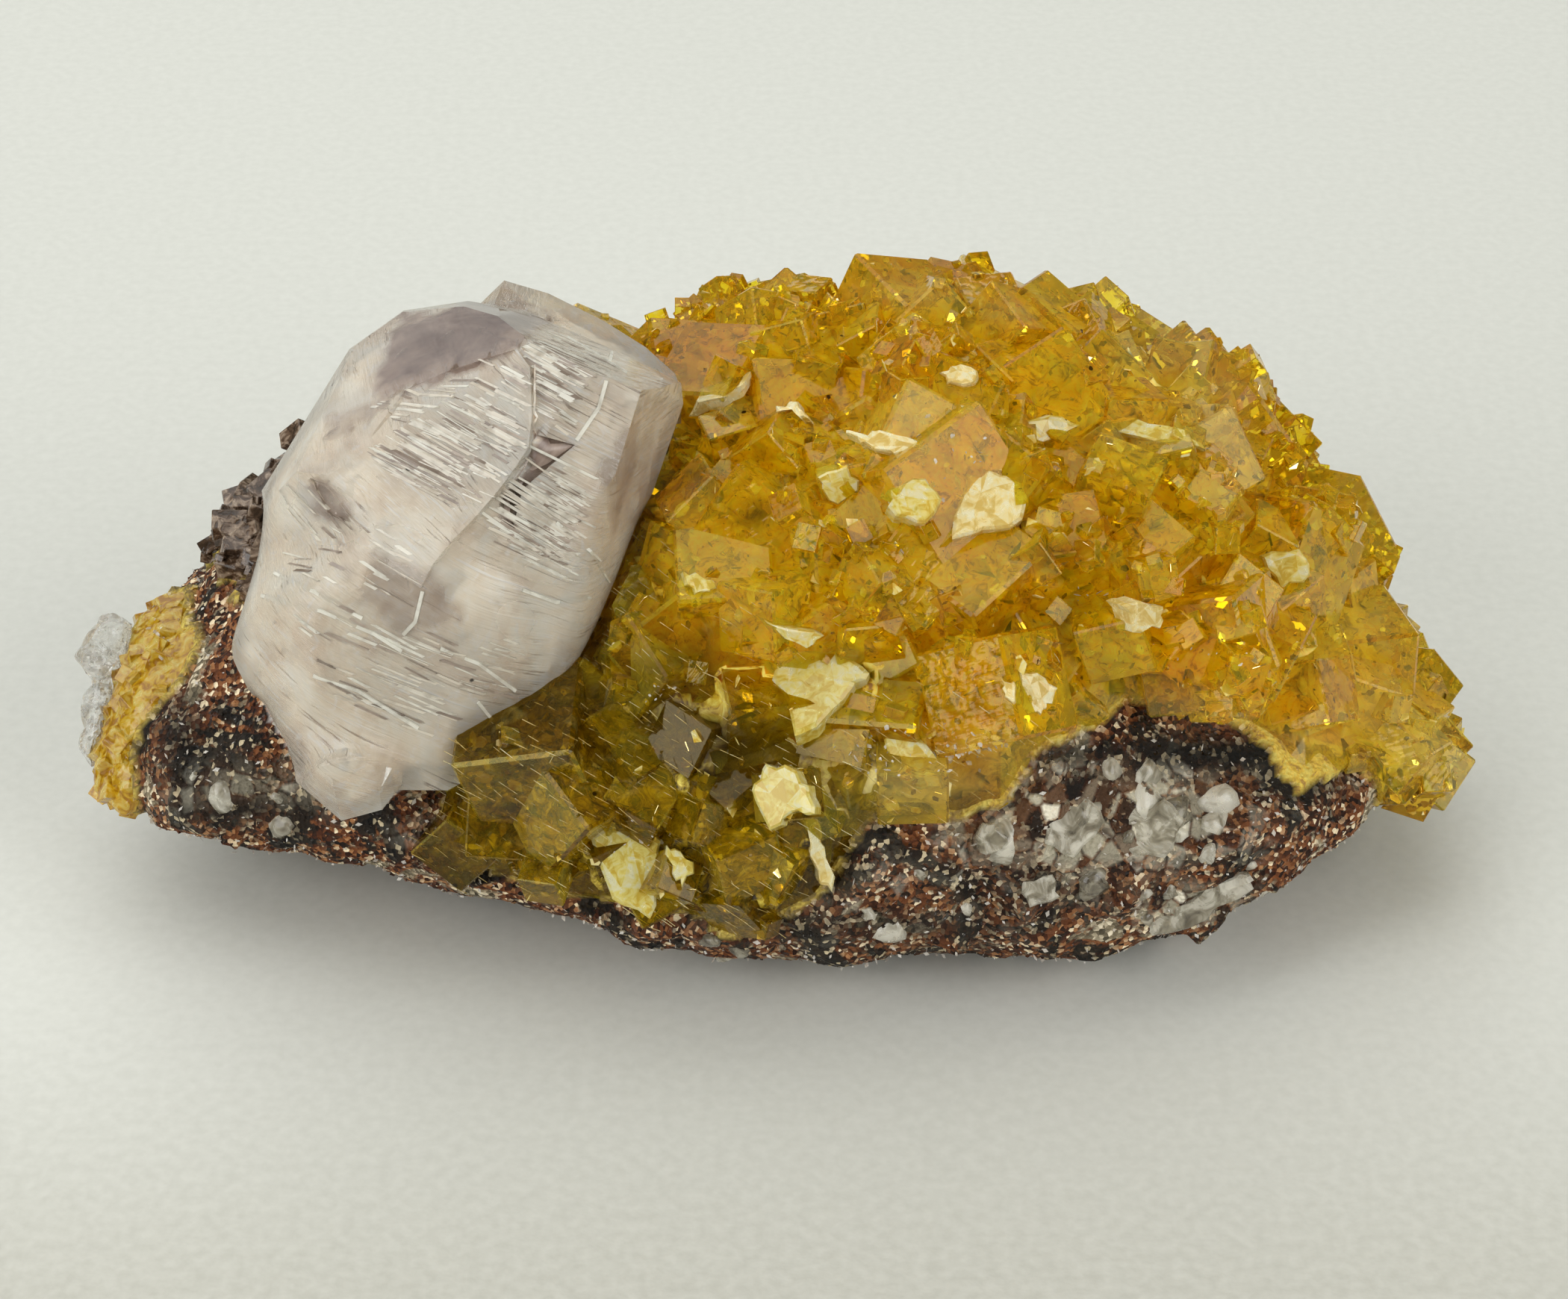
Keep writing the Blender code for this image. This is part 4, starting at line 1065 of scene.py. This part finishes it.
def clast_colour(tree, place, between):
    """The colour of grey clasts, with another between them."""
    _, shade = cells_of(tree, place, CLAST_CELLS)
    clast = toned(tree, shade[0], (0.0, 0.3, 0.5, 0.8, 1.0), CLAST_TONES)
    inputs = {"Vector": place, "Scale": CLAST_CELLS}
    gaps = node(tree, "ShaderNodeTexVoronoi", inputs, feature="DISTANCE_TO_EDGE").outputs["Distance"]
    return overlaid(tree, clast, ramp(tree, gaps, (0.03, 1.0), (0.13, 0.0)), between, 0.8)


def rock_material():
    """Brown granular matrix: red-brown and black grains with pale and glittering ones."""
    material, tree, shader = new_material("granular_matrix_finish")
    place = object_place(tree)
    distance, shade = cells_of(tree, place, 2500.0)
    zones = noise_node(tree, place, 150.0, 6.0, 0.8, 0.65)
    brown = toned(tree, shade[0], (0.0, 0.36, 0.70, 0.88, 0.97), ROCK_BROWN)
    black = toned(tree, shade[1], (0.0, 0.84, 0.97), ROCK_BLACK)
    grey = toned(tree, shade[1], (0.0, 0.6, 1.0), ROCK_GREY)
    clast = clast_colour(tree, place, mixed(tree, 0.5, black, brown))
    body = mixed(tree, ramp(tree, zones, (0.44, 0.0), (0.50, 1.0)), black, brown)
    body = overlaid(tree, body, ramp(tree, zones, (0.58, 0.0), (0.64, 1.0)), grey)
    body = overlaid(tree, body, times(tree, own_value(tree, "clasts"), 1.6, True), clast)
    # Painted shade: the rock turns black where the crust overhangs it, along its foot and at the left end.
    body = overlaid(tree, body, own_value(tree, "shade"), black)
    body = overlaid(tree, body, own_value(tree, "shade"), (0.003, 0.003, 0.002), 0.8)
    mottle = noise_node(tree, place, 520.0, 3.0, 1.5, 0.7)
    amber = toned(tree, mottle, (0.38, 0.48, 0.60), UNDER_AMBER)
    olive = toned(tree, mottle, (0.42, 0.52, 0.66), UNDER_OLIVE)
    under_crust = mixed(tree, 0.5, mixed(tree, lower_front(tree, place), amber, olive), (0.46, 0.34, 0.12))
    body = overlaid(tree, body, own_value(tree, "covered"), under_crust)
    body = overlaid(tree, body, own_value(tree, "under_calcite"), UNDER_CALCITE)
    shine = ramp(tree, shade[2], (0.0, 0.12), (0.25, 0.85))
    set_shader(tree, shader, Base_Color=body, Roughness=shine, Specular_IOR_Level=0.3)
    relief = weighted(tree, (distance, 1.0), (noise_node(tree, place, 2400.0, 2.0), 1.0))
    bump(tree, shader, relief, 0.30 * MM, 0.9)
    return material


def crystal_finish(
    groups, name, transmission, roughness, tones, inside=None, grain=900.0, relief=0.15, by_face=0.0
):
    """A clear or frosty crystal, mottled and specked, with a tone for each face where the piece has one."""
    material, tree, shader = new_material(name)
    place = object_place(tree)
    fine = noise_node(tree, place, grain, 3.0, 1.0, 0.6)
    shades = weighted(tree, (fine, 1.0 - by_face), (own_value(tree, "tone"), by_face))
    body = toned(tree, shades, (0.38, 0.5, 0.64), tones)
    dots = shader_group(tree, groups["specks"], place, scale=500.0, radius=0.10, share=0.10)
    body = overlaid(tree, body, dots, (0.05, 0.035, 0.02))
    set_shader(tree, shader, Base_Color=body, Roughness=mapped(tree, fine, 0.4, 0.7, *roughness))
    set_shader(tree, shader, Transmission_Weight=transmission, IOR=CRYSTAL_IOR)
    bump(tree, shader, fine, relief * MM, 0.6)
    if inside:
        clear_inside(tree, *inside)
    return material


def glint_material():
    """Mirror-like cleavage cracks inside the crystals."""
    material, tree, shader = new_material("glint_finish")
    set_shader(tree, shader, Base_Color=rgba((1.0, 0.86, 0.42)), Metallic=1.0, Roughness=0.12)
    return material


def floor_material():
    """A pale, faintly green-grey studio floor, darkened towards the front by a painted shadow, and grainier
    there.
    """
    material, tree, shader = new_material("pale_floor")
    place = object_place(tree)
    grain = noise_node(tree, place, 900.0, 2.0)
    along = node(tree, "ShaderNodeSeparateXYZ", {"Vector": place}).outputs["Y"]
    # Painted shadow: the floor turns darker towards the front.
    front = mapped(tree, along, -0.02, -0.075, smooth=True)
    pale = ramp(tree, grain, (0.3, (0.62, 0.63, 0.59)), (0.7, (0.66, 0.67, 0.63)))
    painted_front_shadow = ramp(tree, grain, (0.3, (0.46, 0.455, 0.40)), (0.7, (0.53, 0.525, 0.47)))
    set_shader(tree, shader, Base_Color=mixed(tree, front, pale, painted_front_shadow), Roughness=0.7)
    bump(tree, shader, times(tree, grain, front), 0.2 * MM, 0.5)
    return material


# The rock


def make_rock(surface):
    """The matrix, fine enough for its grain, swollen slightly where the crystals sit on it."""
    rock = object_from(mesh_of_node("matrix_rock"), "granular_matrix", surface)
    voxel_remeshed(rock, (0.7) * MM)
    coats = coats_of_rock()
    calcite = tree_of_node("calcite_main")
    under_coats = []
    under_calcite = []

    def swollen(place, outward):
        near = min(coat.find_nearest(place)[3] for coat in coats)
        above = any(coat.ray_cast(place + outward * 0.1 * MM, outward, COAT_THICKNESS)[0] for coat in coats)
        covered = max(0.0, 1.0 - near / COAT_REACH) if above else 0.0
        under_coats.append(1.0 if above and near < 0.45 * MM else 0.0)
        under_calcite.append(1.0 if above and calcite.find_nearest(place)[3] < COAT_REACH else 0.0)
        relief = 0.55 * MM * fractal(place, 4.0 * MM, 3.0) + 0.22 * MM * fractal(place, 1.1 * MM, 8.0)
        out = relief * (1.0 - covered) + ROCK_SWELL * covered
        moved = place + outward * out
        moved.z = max(moved.z, CAD_BOX[0].z)
        return moved

    reshaped(rock, swollen)
    shaded_smooth(rock)
    stored(rock, "covered", under_coats)
    stored(rock, "under_calcite", under_calcite)
    # Painted shade under the crust's overhang, along the foot and at the left end.
    painted(rock, "shade", spots=PAINTED_ROCK_SHADE)
    painted(rock, "clasts", spots=CLAST_SPOTS)
    return finish_piece(rock, ["matrix_rock"])


def make_matrix_grains(scatter, rock, grain_surface, quartz, sparkle):
    """Loose-looking grains, grey quartz clasts, sparkles and pale patches standing out of the matrix."""
    coats = coats_of_rock()

    def bare(place):
        near = min(coat.find_nearest(place)[3] for coat in coats)
        return 1.0 if near > GRAIN_GAP and place.z > GRAIN_FLOOR else 0.0

    def clast_zone(place):
        share = spot_share(CLAST_SPOTS, *photo_pixel(place)) if place.y < 0.0 else 0.12
        return bare(place) * share

    clast = pebble_shape("clast", 9.0, 0.6, 2)
    clast_faces = len(clast.data.polygons)
    for name, shape, surface, growth in (
        ("matrix_grains", pebble_shape("grain", 4.0, 0.8), grain_surface, bare),
        ("quartz_clasts", clast, quartz, clast_zone),
        ("matrix_sparkles", flake_shape("speck", 4, 6), sparkle, bare),
    ):
        made = grow_over(scatter, mesh_copy(rock), shape, name, surface, growth)
        if shape == clast:
            tone_by_clast(made, clast_faces, 44)
            shaded_smooth(made)
        finish_piece(made, [])
        discard(shape)
    patches = flat_plates(rock, ROCK_PATCHES, "pale_rock_patches", quartz, random.Random(19))
    stored(patches, "tone", [PATCH_TONE] * len(patches.data.polygons), "FACE")
    finish_piece(patches, [])


# The fluorite


def make_crust(scatter, surface):
    """The crust's solid with many smaller cubes grown out of it, as one closed surface."""
    rock = tree_of_node("matrix_rock")
    calcite = tree_of_node("calcite_main")

    def free(place):
        on_rock = rock.find_nearest(place)[3] < 1.5 * MM
        near_calcite = calcite.find_nearest(place)[3] < 1.4 * MM
        return 0.0 if on_rock or near_calcite else 1.0

    def mostly_above(place):
        low = place.y < 0.0 and height_over_low_front(place) < 8.0 * MM
        return free(place) * (0.35 if low else 1.0)

    def in_patches(place):
        low = place.y < 0.0 and height_over_low_front(place) < 10.0 * MM
        aside = (place.x - 4.0 * MM) / (16.0 * MM)
        over = (place.z - 32.0 * MM) / (7.0 * MM)
        crackled = math.exp(-(aside**2) - over**2)
        share = -0.05 + crackled + 1.6 * fractal(place, 9.0 * MM, 12.0)
        return free(place) * max(0.0, min(1.0, share)) * (0.15 if low else 1.0)

    def coarse(place):
        size = 1.0 + 0.35 * fractal(place, 14.0 * MM, 5.0)
        if height_over_low_front(place) < 4.0 * MM:
            size *= 1.2
        room = min(place.y - CAD_BOX[0].y, CAD_BOX[1].y - place.y, CAD_BOX[1].x - place.x)
        return size * max(0.35, min(1.0, 0.3 + room / (12.0 * MM)))

    crust = object_from(mesh_of_node("fluorite_crust"), "fluorite_cluster", surface)
    cube = unit_crystal("cube_crystal", 0.03)
    layers = {"large_cubes": mostly_above, "middle_cubes": in_patches, "small_cubes": in_patches}
    for layer, growth in layers.items():
        ground = mesh_copy(crust)
        bmesh.ops.triangulate(ground, faces=ground.faces[:])
        split_long_edges(ground, 2.0 * MM, 2)
        cubes = grow_over(scatter, ground, cube, layer, surface, growth, coarse)
        grown_together(crust, cubes, len(cube.data.vertices))
    discard(cube)
    tone_by_face(crust, 3)
    finer(crust, CRUST_EDGE)
    painted(crust, "pale", spots=PALE_SPOTS)
    # Painted shade for the crust's crevices and hollows.
    painted(crust, "deep", spots=CREVICE_SHADE_SPOTS)
    return finish_piece(crust, ["fluorite_crust"])


def make_core(solid, name, surface, depth):
    """The cloudy inside of a clear solid, a little below its surface."""
    tree = BVHTree.FromBMesh(solid)
    core = object_from(solid, name, surface)
    voxel_remeshed(core, (1.0) * MM)

    def sunk(place, outward):
        through = tree.ray_cast(place - outward * 0.2 * MM, -outward)[3] or 0.0
        wander = 0.33 * depth * fractal(place, 3.0 * MM, 2.0)
        return place - outward * max(0.1 * MM, min(depth + wander, THICKEST_SHARE * through))

    reshaped(core, sunk)
    shaded_smooth(core)
    return core


def flat_plate(tree, outline, height, rng):
    """A flat chip that covers an outline picked on the photograph, at a height over the surface."""
    middle_x = sum(x for x, _ in outline) / len(outline)
    middle_y = sum(y for _, y in outline) / len(outline)
    place, normal = seen_on(tree, middle_x, middle_y)
    ragged = []
    for (ax, ay), (bx, by) in zip(outline, outline[1:] + outline[:1]):
        ragged.append((ax, ay))
        for share in (0.35, 0.7):
            chance_x, chance_y = rng.gauss(0.0, RAGGED), rng.gauss(0.0, RAGGED)
            ragged.append((ax + (bx - ax) * share + chance_x, ay + (by - ay) * share + chance_y))
    chance = Vector((rng.gauss(0.0, 0.15), rng.gauss(0.0, 0.15), rng.gauss(0.0, 0.15)))
    facing = (normal * 0.6 + CAMERA_BACK + chance).normalized()
    level = (place + facing * height - CAMERA_PLACE).dot(facing)
    rim = []
    for px, py in ragged:
        ray = photo_ray(px, py)
        rim.append(CAMERA_PLACE + ray * (level / ray.dot(facing)))
    middle = sum(rim, Vector()) / len(rim)
    bm = bmesh.new()
    rings = []
    for share, drop in ((1.0, PLATE_ROOT), (1.0, PLATE_EDGE), (0.90, 0.0)):
        rings.append([bm.verts.new(middle + (point - middle) * share - facing * drop) for point in rim])
    inner = []
    for point in rim[::3]:
        chance = facing * rng.uniform(-0.08, 0.06) * MM
        inner.append(bm.verts.new(middle + (point - middle) * rng.uniform(0.35, 0.7) + chance))
    bm.faces.new(list(reversed(rings[0])))
    walls(rings, bm)
    outer = rings[-1]
    for k, vertex in enumerate(inner):
        after = inner[(k + 1) % len(inner)]
        side = [outer[(3 * k + step) % len(outer)] for step in range(4)]
        bm.faces.new((side[0], side[1], vertex))
        bm.faces.new((side[1], side[2], vertex))
        bm.faces.new((side[2], after, vertex))
        bm.faces.new((side[2], side[3], after))
    bm.faces.new(inner)
    bmesh.ops.triangulate(bm, faces=[face for face in bm.faces if len(face.verts) > 4])
    bmesh.ops.recalc_face_normals(bm, faces=bm.faces[:])
    return object_from(bm, "plate")


def flat_plates(ground, outlines, name, surface, rng):
    """Flat chips over outlines with their heights in mm, as one piece."""
    tree = tree_of(mesh_copy(ground))
    bm = bmesh.new()
    for outline, height in outlines:
        plate = flat_plate(tree, outline, height * MM, rng)
        bm.from_mesh(plate.data)
        discard(plate)
    return object_from(bm, name, surface)


def make_plates(crust, finishes):
    """The cleavage plates on the crust, one piece for each finish."""
    rng = random.Random(17)
    for finish, surface in finishes.items():
        outlines = [(outline, height) for outline, height, plate_finish in PLATES if plate_finish == finish]
        plates = flat_plates(crust, outlines, finish + "_plates", surface, rng)
        tone_by_face(plates, 21)
        finish_piece(plates, [])


def make_fibres(scatter, crust, surface):
    """Fine straight pale fibres, all one way, over the low front of the crust."""
    needle = unit_crystal("needle", 0.0, (1.0, 0.016, 0.016))
    needle.data.transform(Euler((0.0, math.radians(FIBRE_SLOPE), 0.0)).to_matrix().to_4x4())

    def low_front(place):
        share = max(0.0, min(1.0, (15.0 * MM - height_over_low_front(place)) / (14.0 * MM))) ** 2
        return share if place.y < 0.0 and place.x > -32.0 * MM else 0.0

    needles = grow_over(scatter, mesh_copy(crust), needle, "pale_fibres", surface, low_front)
    finish_piece(needles, [])
    discard(needle)


# The calcite


def slab(tree, outline, heights, depth):
    """A closed slab over an outline of pixels, with a height over the surface for each corner."""
    found = [seen_on(tree, px, py) for px, py in outline]
    normal = sum((n for _, n in found), Vector()).normalized()
    bm = bmesh.new()
    top = [bm.verts.new(place + normal * height) for (place, _), height in zip(found, heights)]
    bottom = [bm.verts.new(place - normal * depth) for place, _ in found]
    bm.faces.new(top)
    bm.faces.new(list(reversed(bottom)))
    for k in range(len(top)):
        n = (k + 1) % len(top)
        bm.faces.new((top[k], bottom[k], bottom[n], top[n]))
    bmesh.ops.triangulate(bm, faces=bm.faces[:])
    bmesh.ops.recalc_face_normals(bm, faces=bm.faces[:])
    return bm


def make_calcite(surface):
    """The large calcite: its solid with softened edges, a raised lip and sunk facets."""
    calcite = object_from(mesh_of_node("calcite_main"), "lilac_calcite", surface)
    finer(calcite, CALCITE_EDGE)
    bm = mesh_copy(calcite)
    for top, bottom, rounds in WORN_ROWS:
        worn = [vertex for vertex in bm.verts if top < photo_pixel(vertex.co)[1] < bottom]
        for _ in range(rounds):
            bmesh.ops.smooth_vert(
                bm, verts=worn, factor=0.5, use_axis_x=True, use_axis_y=True, use_axis_z=True
            )
    bm.to_mesh(calcite.data)
    bm.free()
    tree = tree_of(mesh_copy(calcite))
    combined(calcite, "UNION", [slab(tree, LIP_OUTLINE, [h * MM for h in LIP_HEIGHTS], SLAB_ROOT)])
    sunk = []
    for outline, depth in SUNK_FACETS:
        sunk.append(slab(tree, outline, [SUNK_SLAB_HEIGHT] * len(outline), depth * MM))
    combined(calcite, "DIFFERENCE", sunk)
    finer(calcite, CALCITE_EDGE)
    # Dusky tint and painted shade on the smooth faces and the sunk recess.
    painted(calcite, "dusk", DUSKY_AND_SHADED)
    painted(calcite, "milk", spots=MILK_AND_GLINT_SPOTS)
    shaded_smooth(calcite)
    calcite.data.set_sharp_from_angle(angle=SHARP_ANGLE)
    return finish_piece(calcite, ["calcite_main"])


def along_surface(normal, right, down):
    """The direction on a surface that the photograph shows as so far right and down."""
    along = Vector((right, 0.0, 0.0)) - CAMERA_UP * down
    return (along - normal * along.dot(normal)).normalized()


def growth_step(bm, tone_layer, tree, px, py, length, width, height, rng):
    """Adds a low growth step along the calcite's striations, with slanted ends and a tone of its own."""
    place, normal = seen_on(tree, px, py)
    if place is None:
        return
    slope = math.radians(STRIATION_SLOPE + rng.gauss(0.0, 3.0))
    along = along_surface(normal, math.cos(slope), math.sin(slope))
    across = normal.cross(along)
    ends = (place - along * length / 2.0, place + along * length / 2.0)
    if max(tree.find_nearest(end)[3] for end in ends) > STEP_STRAY:
        return
    lean = rng.uniform(0.3, 1.2) * width
    corners = (
        (-length / 2.0 - lean, -width / 2.0),
        (length / 2.0 - lean * rng.random(), -width / 2.0),
        (length / 2.0 + lean, width / 2.0),
        (-length / 2.0 + lean * rng.random(), width / 2.0),
    )
    tilt = rng.uniform(0.2, 0.9) * height
    low = [bm.verts.new(place + along * a + across * b - normal * STEP_ROOT) for a, b in corners]
    high = []
    for a, b in corners:
        level = height - (tilt if b < 0.0 else 0.0)
        high.append(bm.verts.new(place + along * a + across * b + normal * level))
    # The dark tones are painted shade, standing in for gaps between the steps.
    tone = rng.uniform(0.0, 0.25) if rng.random() < SHADED_GAP_STEPS else rng.uniform(0.45, 1.0)
    for face in closed_between([low, high], bm):
        face[tone_layer] = tone


def ridge(bm, tone_layer, tree, line):
    """Adds a thin raised crest, painted bright as a highlight, along a line picked on the photograph."""
    rings = []
    for index, (px, py) in enumerate(line):
        place, normal = seen_on(tree, px, py)
        before = line[max(0, index - 1)]
        after = line[min(len(line) - 1, index + 1)]
        along = along_surface(normal, after[0] - before[0], after[1] - before[1])
        across = normal.cross(along) * RIDGE_WIDTH / 2.0
        foot = normal * STEP_ROOT
        crest = normal * RIDGE_HEIGHT
        ring = (
            place - across - foot,
            place + across - foot,
            place + across * RIDGE_CREST + crest,
            place - across * RIDGE_CREST + crest,
        )
        rings.append([bm.verts.new(corner) for corner in ring])
    for face in closed_between(rings, bm):
        # Painted highlight: the crest takes the palest tone.
        face[tone_layer] = 1.0


def make_growth_steps(calcite, surface):
    """Growth steps over the calcite's striated faces, and the crests of its ridges and cracks, painted bright
    as highlights.
    """
    rng = random.Random(5)
    tree = tree_of(mesh_copy(calcite))
    bm = bmesh.new()
    tone_layer = bm.faces.layers.float.new("tone")
    for outline, count, *limits in STRIATED:
        left, right = min(x for x, _ in outline), max(x for x, _ in outline)
        top, bottom = min(y for _, y in outline), max(y for _, y in outline)
        made = 0
        while made < count:
            px, py = rng.uniform(left, right), rng.uniform(top, bottom)
            if inside(outline, px, py):
                made += 1
                sizes = [rng.uniform(*pair) * MM for pair in limits]
                growth_step(bm, tone_layer, tree, px, py, *sizes, rng)
    for line in RIDGES:
        ridge(bm, tone_layer, tree, line)
    bmesh.ops.recalc_face_normals(bm, faces=bm.faces[:])
    finish_piece(object_from(bm, "growth_steps", surface), [])


# Small crystals


def in_cluster(place):
    """How thick the white sparkles lie at a place, from the clusters picked on the photograph."""
    share = spot_share(SPARKLES, *photo_pixel(place))
    return share if share > 0.1 else 0.0


def make_flakes(scatter, crust, band, finishes):
    """Cleavage flakes inside the fluorite and the calcite, and white sparkles on the fluorite."""
    shape = flake_shape("flake", 5, 2)
    in_crust = away_from_rock(2.2)
    for name, ground, growth, slot in (
        ("amber_flakes", mesh_copy(crust), in_crust, "fluorite"),
        ("brown_flakes", mesh_copy(crust), in_crust, "fluorite"),
        ("bright_glints", mesh_copy(crust), in_crust, "fluorite"),
        ("crust_sparkles", mesh_copy(crust), in_cluster, "fluorite"),
        ("band_sparkles", mesh_copy(band), in_cluster, "fluorite"),
        ("calcite_veils", mesh_of_node("calcite_main"), away_from_rock(3.0), "calcite"),
    ):
        surface = finishes.get(name, finishes["white_veil"])
        finish_piece(grow_over(scatter, ground, shape, name, surface, growth), [])
    discard(shape)


def make_druse(scatter, surface):
    """Small brown crystals over the druse's solid."""
    druse = object_from(mesh_of_node("brown_druse"), "brown_druse_crystals", surface)
    rhomb = unit_crystal("rhomb_crystal", 0.04, (1.0, 0.8, 1.3))
    ground = mesh_of_node("brown_druse")
    points = grow_over(scatter, ground, rhomb, "druse_points", surface, away_from_rock(0.6))
    finish_piece(points, [])
    discard(rhomb)
    finish_piece(druse, ["brown_druse"])


def make_left_end(scatter, band_surface, frosty):
    """The yellow band with small cubes on it, and the frosty clear lumps outside it."""
    band = object_from(mesh_of_node("fluorite_left"), "left_band", band_surface)
    voxel_remeshed(band, 0.5 * MM)

    def uneven(place, outward):
        return place + outward * (0.45 * MM * fractal(place, 3.2 * MM, 4.0))

    reshaped(band, uneven)
    cube = unit_crystal("cube_crystal", 0.03)
    ground = mesh_of_node("fluorite_left")
    cubes = grow_over(scatter, ground, cube, "band_cubes", band_surface, away_from_rock(1.0))
    grown_together(band, cubes, len(cube.data.vertices))
    discard(cube)
    tone_by_face(band, 8)
    finish_piece(band, ["fluorite_left"])
    lumps = object_from(mesh_of_node("calcite_left"), "frosty_lumps", frosty)
    voxel_remeshed(lumps, 0.3 * MM)

    def knobbly(place, outward):
        return place + outward * (abs(fractal(place, 3.0 * MM, 6.0, 2)) * 0.7 * MM - 0.15 * MM)

    reshaped(lumps, knobbly)
    finish_piece(lumps, ["calcite_left"])
    return band


def make_right_crystal(surface):
    crystal = object_from(mesh_of_node("pale_crystal_right"), "pale_crystal", surface)
    modifier = crystal.modifiers.new("Bevel", "BEVEL")
    modifier.width = 0.5 * MM
    modifier.segments = 2
    modifier.limit_method = "ANGLE"
    modifier.angle_limit = math.radians(20.0)
    applied(crystal)
    finish_piece(crystal, ["pale_crystal_right"])


# Light, floor and camera


def make_stage():
    scene = bpy.context.scene
    bm = bmesh.new()
    bmesh.ops.create_grid(bm, x_segments=2, y_segments=2, size=FLOOR_REACH)
    floor = object_from(bm, "studio_floor", floor_material())
    floor.location = (0.0, 0.0, CAD_BOX[0].z)
    world = bpy.data.worlds.new("studio")
    world.use_nodes = True
    background = world.node_tree.nodes["Background"]
    background.inputs["Color"].default_value = rgba(WORLD_COLOUR)
    background.inputs["Strength"].default_value = WORLD_STRENGTH
    scene.view_settings.view_transform = "Standard"
    scene.world = world
    for name, place, size, power, tone in LIGHTS:
        light = bpy.data.lights.new(name, "AREA")
        light.size = size
        light.energy = power
        light.color = tone
        made = bpy.data.objects.new(name, light)
        made.location = place
        made.rotation_euler = (-Vector(place)).to_track_quat("-Z", "Y").to_euler()
        scene.collection.objects.link(made)
    camera_data = bpy.data.cameras.new("photo_camera")
    camera_data.lens = LENS
    camera_data.sensor_width = SENSOR
    camera_data.clip_start = 10.0 * MM
    camera = bpy.data.objects.new("photo_camera", camera_data)
    camera.location = CAMERA_PLACE
    camera.rotation_euler = (-CAMERA_BACK).to_track_quat("-Z", "Y").to_euler()
    scene.collection.objects.link(camera)
    scene.camera = camera


def main():
    scatter = new_scatter_tree()
    groups = {"specks": new_speck_group(), "veils": new_veil_group()}
    make_stage()
    honey = fluorite_material(groups)
    finishes = {}
    for name, transmission, least_rough, most_rough, tones, more in CRYSTAL_FINISHES:
        roughness = (least_rough, most_rough)
        finishes[name] = crystal_finish(groups, name + "_finish", transmission, roughness, tones, **more)
    finishes["amber_flakes"] = finishes["amber_flake"]
    finishes["brown_flakes"] = finishes["brown_flake"]
    finishes["bright_glints"] = glint_material()
    granular = rock_material()
    rock = make_rock(granular)
    make_matrix_grains(scatter, rock, granular, finishes["grey_quartz"], finishes["white_veil"])
    crust = make_crust(scatter, honey)
    amber_core = make_core(mesh_of_node("fluorite_crust"), "cloudy_core", core_material(), CORE_DEPTH)
    painted(amber_core, "pale", spots=PALE_SPOTS)
    # Painted shade for the crevices and hollows, over the cloudy inside as well.
    painted(amber_core, "deep", spots=CREVICE_SHADE_SPOTS)
    finish_piece(amber_core, [])
    make_plates(crust, {"cream": finishes["cream_cleavage"], "chip": finishes["pale_chip"]})
    make_fibres(scatter, crust, finishes["cream_cleavage"])
    calcite = make_calcite(calcite_material(groups))
    make_growth_steps(calcite, growth_step_material())
    milky = calcite_core_material(groups)
    milky_core = make_core(mesh_copy(calcite), "milky_core", milky, CALCITE_CORE_DEPTH)
    painted(milky_core, "dusk", DUSKY_AND_SHADED)
    painted(milky_core, "milk", spots=MILK_AND_GLINT_SPOTS)
    finish_piece(milky_core, [])
    left_band = make_left_end(scatter, finishes["band_fluorite"], finishes["frosty_calcite"])
    make_flakes(scatter, crust, left_band, finishes)
    make_druse(scatter, finishes["brown_druse"])
    make_right_crystal(finishes["pale_yellow"])


main()
